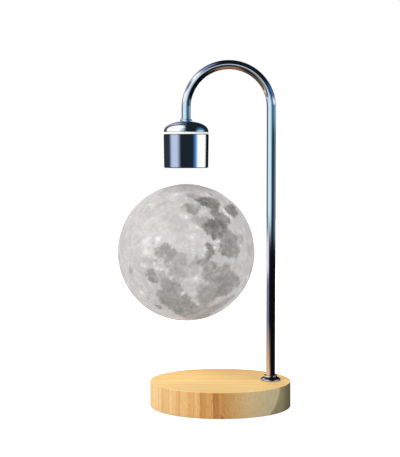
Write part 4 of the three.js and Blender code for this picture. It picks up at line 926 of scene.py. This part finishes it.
# Dark plains: latitude, longitude, half width in degrees, how dark
plains = (
    (14, 56, 4, 0.68), (18, 57, 4, 0.7), (14, 62, 4, 0.72), (18, 63, 4.6, 0.74), (18, 68, 4, 0.7),
    (-10, 52, 4.5, 0.88), (-6, 52, 6, 1.0), (-1, 51, 5, 1.0), (0, 57, 3.6, 0.7), (-20, 57, 4, 0.4),
    (-16, 55, 3.5, 0.3), (-1, 67, 5, 0.22), (-19, 40, 4, 0.5), (-15, 38, 4, 0.5), (-14, 42, 3.5, 0.36),
    (-23, 38, 3, 0.2), (5, 43, 5, 0.72), (10, 43, 4.5, 0.7), (15, 42, 4, 0.62), (3, 31, 5.5, 0.94),
    (9, 35, 6, 0.96), (8, 27, 6, 0.98), (12, 25, 3.5, 0.76), (0, 28, 4.5, 0.78), (3, 25, 4, 0.7),
    (-6, 30, 4.5, 0.34), (-10, 30, 3, 0.24), (14, 33, 4, 0.74), (13, 29, 3, 0.7), (19, 30, 4, 0.66),
    (24, 31, 3.5, 0.6), (20, 22, 5, 0.5), (25, 25, 6, 0.52), (29, 20, 6, 0.52), (33, 22, 4.5, 0.5),
    (22, 16, 4, 0.68), (26, 16, 3.5, 0.62), (28, 30, 4, 0.54), (34, 37, 3.5, 0.32), (50, 40, 5, 0.2),
    (9, 12, 3.2, 0.8), (12, 9, 3, 0.78), (11, 5, 3, 0.72), (11, 1, 2.4, 0.68), (5, -3, 2.2, 0.7),
    (2, -1, 2.2, 0.42), (8, -2, 3.5, 0.46), (3, -6, 3.5, 0.34), (3, -9, 3, 0.3), (2, -13, 5, 0.2),
    (13, 15, 2.5, 0.25), (-24, -4, 4, 0.6), (-27, -10, 4.5, 0.54), (-22, -7, 4.5, 0.62), (-17, -5, 4, 0.58),
    (-26, -15, 3, 0.3), (-12, -6, 4, 0.38), (-8, -6, 3.5, 0.46), (-5, -8, 3, 0.34), (-18, -11, 5, 0.4),
    (-13, -14, 5, 0.46), (-10, -18, 4.5, 0.42), (-5, -17, 5, 0.38), (-5, -21, 4, 0.28), (-4, -12, 3, 0.2),
    (-31, -22, 4, 0.2), (-26, -31, 4.5, 0.6), (-23, -33, 4.5, 0.64), (-20, -34, 3.5, 0.56),
    (-16, -26, 4, 0.24), (-42, -49, 2.2, 0.3), (-34, -36, 3, 0.18), (-35, -23, 3, 0.15), (-12, -30, 4, 0.48),
    (-8, -32, 5, 0.52), (-3, -31, 5, 0.54), (-4, -37, 5, 0.5), (-8, -43, 5, 0.5), (-12, -43, 3, 0.42),
    (-4, -47, 6, 0.56), (0, -40, 5, 0.5), (5, -44, 6, 0.56), (3, -52, 4, 0.52), (11, -45, 6, 0.62),
    (9, -38, 5, 0.58), (10, -53, 6, 0.56), (16, -46, 6, 0.58), (17, -56, 6, 0.54), (22, -50, 6, 0.52),
    (25, -61, 7, 0.4), (26, -44, 5, 0.36), (26, -36, 5, 0.44), (0, -31, 3, 0.4), (32, -50, 6, 0.3),
    (38, -48, 6, 0.36), (43, -45, 5, 0.34), (34, -64, 8, 0.4), (48, -37, 4, 0.32), (54, -33, 3, 0.3),
    (-6, -61, 2.6, 0.55), (-17, -59, 1.8, 0.3), (15, -5, 4, 0.46), (18, -1, 3.5, 0.56), (18, -9, 5, 0.46),
    (24, -11, 5.5, 0.46), (28, -4, 5.5, 0.5), (30, 1, 4, 0.46), (35, -4, 5, 0.5), (41, -3, 4, 0.5),
    (34, -12, 6, 0.56), (42, -12, 5, 0.56), (28, -17, 5, 0.48), (37, -21, 5, 0.56), (31, -26, 5, 0.54),
    (24, -24, 5, 0.44), (17, -23, 4, 0.34), (22, -31, 5, 0.4), (42, -20, 4, 0.5), (30, -32, 4, 0.42),
    (44, -8, 3.5, 0.5), (47, -4, 3, 0.5), (52, -11, 3, 0.4), (-21, 69, 8, 0.16), (-32, 70, 8, 0.1),
    (-43, 65, 6, 0.16), (-10, 73, 6, 0.2), (5, 69, 4, 0.25), (57, 80, 5, 0.35), (-8, 84, 9, 0.36),
    (14, 86, 6, 0.4), (-28, 80, 8, 0.3), (-19, -95, 8, 0.42), (27, 147, 8, 0.5), (-20, 129, 4, 0.5),
    (-33, 163, 6, 0.45), (-36, 151, 5, 0.3), (5, 140, 5, 0.25), (36, -152, 5, 0.3), (-50, 175, 12, 0.25),
    (40, -150, 7, 0.25), (-57, 140, 5, 0.3), (-38, 90, 9, 0.35), (-50, 95, 7, 0.3),
)
# Bright rayed craters: latitude, longitude, reach in degrees, how bright, number of rays
rayed = (
    (-33, 1, 16, 0.34, 9), (-43, -7, 30, 0.26, 11), (-57, -1, 20, 0.12, 7), (-37, -15, 9, 0.16, 7),
    (9, -15, 12, 0.3, 13), (6, -32, 8, 0.24, 9), (22, -40, 6, 0.42, 7), (14, 49, 7, 0.26, 6),
    (18, 48, 5, 0.24, 6), (9, 52, 5, 0.2, 6), (-7, 62, 7, 0.22, 9), (-32, 55, 7, 0.3, 8),
    (-24, -58, 9, 0.34, 9), (-18, 29, 5, 0.24, 7), (-7, 23, 5, 0.26, 7), (-11, 21, 4, 0.16, 7),
    (-8, 13, 5, 0.24, 7), (-23, 30, 4, 0.18, 7), (14, 20, 4, 0.36, 7), (13, 14, 4, 0.34, 7),
    (-15, -19, 5, 0.28, 7), (-16, -21, 4, 0.22, 7), (-29, -16, 7, 0.2, 7), (-8, -22, 4, 0.2, 7),
    (25, -6, 3, 0.24, 7), (19, -15, 3, 0.22, 7), (58, -50, 16, 0.16, 7), (66, 5, 14, 0.14, 8),
    (37, 104, 14, 0.25, 9), (-22, 160, 12, 0.22, 9), (12, -118, 14, 0.22, 9), (-60, -120, 12, 0.2, 8),
    (57, -100, 10, 0.2, 8), (-4, 147, 8, 0.2, 7),
)


def on_map(latitude, longitude):
    """The direction of a place in the map's own frame."""
    up, east = math.radians(latitude), math.radians(longitude)
    return np.array((-math.sin(east) * math.cos(up), -math.cos(east) * math.cos(up), math.sin(up)))


def wandered(places, scale, depth, seed):
    """Soft noise vectors at places on a unit ball."""
    shift = Vector((seed, seed * 0.7, seed * 1.3))
    starts = [Vector(place) * scale + shift for place in places]
    return np.array([noise.turbulence_vector(start, depth, False) for start in starts])


noise.seed_set(11)
pit_source, pit_count = np.random.default_rng(20), 420
pit_places = pit_source.normal(size=(pit_count, 3))
pit_places /= np.linalg.norm(pit_places, axis=1)[:, None]
pit_widths = np.radians(0.55 * pit_source.random(pit_count) ** -0.45)
pit_bright = pit_source.uniform(-0.35, 1.0, pit_count)
# Swarms of small bright pits: latitude, longitude, spread in degrees, number
for latitude, longitude, spread, count in (
    (-21, -20, 6, 30), (-29, -22, 5, 16), (-17, -29, 5, 14), (15, 14, 3.5, 16), (-13, 44, 5, 14),
    (-2, -24, 6, 12),
):
    swarm = on_map(latitude, longitude) + pit_source.normal(scale=math.radians(spread), size=(count, 3))
    pit_places = np.concatenate([pit_places, swarm / np.linalg.norm(swarm, axis=1)[:, None]])
    pit_widths = np.concatenate([pit_widths, np.radians(pit_source.uniform(0.6, 1.1, count))])
    pit_bright = np.concatenate([pit_bright, pit_source.uniform(0.4, 1.5, count)])


def printed(directions):
    """The map's tone, from 0 dark to 1 bright, and how far the wall is sunk, from 0 to 1."""
    face = directions @ np.array(face_turn)
    broad = wandered(face, 2.6, 3, 5.0)
    fine = wandered(face, 11.0, 3, 9.0)
    bent = face + 0.018 * broad + 0.03 * fine
    bent /= np.linalg.norm(bent, axis=1)[:, None]
    ragged = np.array([noise.fractal(Vector(place) * 19.0, 0.4, 2.2, 4) for place in face])
    reach, level, weight = np.zeros(len(face)), np.zeros(len(face)), np.full(len(face), 1e-6)
    for latitude, longitude, half_width, darkness in plains:
        away = np.degrees(np.arccos(np.clip(bent @ on_map(latitude, longitude), -1, 1)))
        near = np.exp(-0.9 * (away / (1.12 * half_width)) ** 2)
        reach = (reach**4 + near**4) ** 0.25
        level += darkness * near**3
        weight += near**3
    cover = soft_step(0.3, 0.56, reach + 0.27 * ragged)
    dark = level / weight * cover
    sink = plain_sink * np.clip(dark / 0.55, 0, 1)
    tone = base_tone - plain_dark * dark + 0.035 * broad[:, 0] + 0.05 * fine[:, 1] + 0.03 * ragged
    tone += dark * (0.09 * fine[:, 0] + 0.05 * ragged)
    for latitude, longitude, reach_out, brightness, count in rayed:
        centre = on_map(latitude, longitude)
        across = np.cross(centre, (0.3, 0.2, 1.0))
        across /= np.linalg.norm(across)
        along = np.cross(centre, across)
        angle = np.degrees(np.arccos(np.clip(face @ centre, -1, 1)))
        bearing = np.arctan2(face @ along, face @ across) + 0.35 * broad[:, 1]
        spokes = np.cos(bearing * count) * 0.5 + np.cos(bearing * (count // 2 + 1) + 1) * 0.5
        spokes = np.clip(spokes, 0, 1) ** 2
        spread = np.exp(-((angle / (reach_out * 0.5)) ** 1.2))
        core = np.exp(-((angle / (1.2 + reach_out * 0.06)) ** 2))
        tone += brightness * (0.28 * spokes * spread + 0.36 * core + 0.09 * spread)
    for place, half_width, bright in zip(pit_places, pit_widths, pit_bright):
        cosine = face @ place
        near = np.nonzero(cosine > math.cos(half_width * 2.2))[0]
        away = np.arccos(np.clip(cosine[near], -1, 1)) / half_width
        rim = np.exp(-(((away - 1) / 0.22) ** 2))
        bowl = 1 - soft_step(0.5, 1.0, away)
        tone[near] += 0.05 * rim - 0.05 * bowl + 0.09 * bright * np.exp(-((away / 0.9) ** 2))
        sink[near] = np.clip(sink[near] + 0.35 * bowl - 0.15 * rim, 0, 1)
    sink = np.clip(sink + 0.12 * (0.5 - fine[:, 0]) * (sink > 0.02), 0, 1)
    return np.clip(tone, 0, 1), sink


def sphere_line(radius, start, end, steps):
    """Outline points of a sphere between two angles from its top."""
    angles = [start + (end - start) * step / steps for step in range(steps + 1)]
    return [(radius * max(math.sin(angle), 0), radius * math.cos(angle)) for angle in angles]


def pressed(mesh):
    """Prints the map on the outside of a turned piece of the ball and presses its relief in."""
    points = np.empty(len(mesh.vertices) * 3)
    mesh.vertices.foreach_get("co", points)
    points = points.reshape(-1, 3) / MM - np.array(ball_place)
    lengths = np.linalg.norm(points, axis=1)
    tone, sink = printed(points / lengths[:, None])
    outside = lengths > ball_radius - 0.4
    points[outside] *= (1 - relief * sink[outside] / ball_radius)[:, None]
    mesh.vertices.foreach_set("co", ((points + np.array(ball_place)) * MM).ravel())
    mesh.attributes.new("map_tone", "FLOAT", "POINT").data.foreach_set("value", tone)
    mesh.update()
    return mesh


pla, tree, shader, position = surface("moon_print_pla")
map_tone = node(tree, "Attribute", attribute_name="map_tone").outputs["Fac"]
inputs = {"Vector": position, "Scale": 420.0, "Detail": 4.0, "Roughness": 0.65}
speckle = node(tree, "TexNoise", inputs)
fleck = node(tree, "MapRange", {"Value": speckle, "To Min": -0.07, "To Max": 0.07})
mottled = node(tree, "Math", {0: map_tone, 1: fleck}, operation="ADD")
print_tones, print_stops = ("6e6e6b", "9c9a98", "c9c7c7", "fafafa"), (0.4, 0.6, 0.8, 1.0)
tone = node(tree, "ValToRGB", {"Fac": mottled}, print_tones, print_stops)
base = node(tree, "VectorMath", {0: tone, "Scale": 0.42}, operation="SCALE")
bump = node(tree, "Bump", {"Height": speckle, "Strength": 0.15, "Distance": 0.0004})
feed(tree, shader, {"Base Color": base, "Emission Color": tone, "Emission Strength": 0.6})
feed(tree, shader, {"Normal": bump, "Roughness": 0.85, "Specular IOR Level": 0.2})


def height_on(radius, sphere):
    """The height above its middle at which a sphere has the given radius."""
    return math.sqrt(sphere**2 - radius**2)


ledge_radius, ledge_top, ledge_bottom = 21.1, 69.5, 68.0
shell_outline = sphere_line(ball_radius, math.pi, math.asin(port_radius / ball_radius), 200)
shell_outline += [(port_radius, ledge_top), (ledge_radius, ledge_top), (ledge_radius, ledge_bottom)]
shell_outline += sphere_line(ball_inside, math.acos(ledge_bottom / ball_inside), math.pi, 14)
shell_mesh = pressed(lathe("ball_shell", shell_outline, ball_place, 440, flats=False))
placed("ball_shell", shell_mesh, pla, "moon", "moon_print", "moon_shell")

skirt_inner, skirt_outer, skirt_depth = 19.8, 20.8, 8.0
skirt_top = height_on(skirt_outer, ball_inside)
cap_outline = sphere_line(ball_inside, 0, math.asin(skirt_inner / ball_inside), 8)
cap_outline += [(skirt_inner, skirt_top - skirt_depth), (skirt_outer, skirt_top - skirt_depth)]
cap_outline += [(skirt_outer, skirt_top), (plug_radius, height_on(plug_radius, ball_inside))]
cap_outline += sphere_line(ball_radius, math.asin(plug_radius / ball_radius), 0, 28)
cap_mesh = pressed(lathe("ball_cap", cap_outline, ball_place, 256))
placed("ball_cap", cap_mesh, pla, "moon", "moon_print", "moon_cap")

# The lights in the ball: a white-masked aluminium board with eight yellow phosphor lamps under it, over a
# bowl of frosted polycarbonate that spreads their light.
lamps_below = 227.8
led_board, tree, shader, position = surface("white_masked_board")
height = node(tree, "SeparateXYZ", {0: position}).outputs["Z"]
below = node(tree, "Math", {0: height, 1: lamps_below * MM}, operation="LESS_THAN")
cloud = node(tree, "TexNoise", {"Vector": position, "Scale": 500.0})
mask_tone = node(tree, "ValToRGB", {"Fac": cloud}, ("e2e1da", "f4f3ee"))
lamp_tone = node(tree, "ValToRGB", {"Fac": cloud}, ("e3c13c", "f0d35c"))
colour = node(tree, "Mix", {0: below, 6: mask_tone, 7: lamp_tone}, data_type="RGBA").outputs[2]
feed(tree, shader, {"Base Color": colour, "Roughness": 0.35})
dressed(led_board, "led_board")

frost, tones, clear = {"Scale": 2200.0, "Detail": 2.0}, ("ebeae4", "fbfaf6"), {"Transmission Weight": 0.35}
frosted = grained("frosted_polycarbonate", "TexNoise", frost, tones, 0.55, (0.2, 0.0001), clear)
dressed(frosted, "light_diffuser")

# As in the picture, the chrome mirrors the studio's sheets alone, and no part of the lamp.
for piece in bpy.context.scene.objects:
    if piece.visible_camera:
        piece.visible_glossy = False
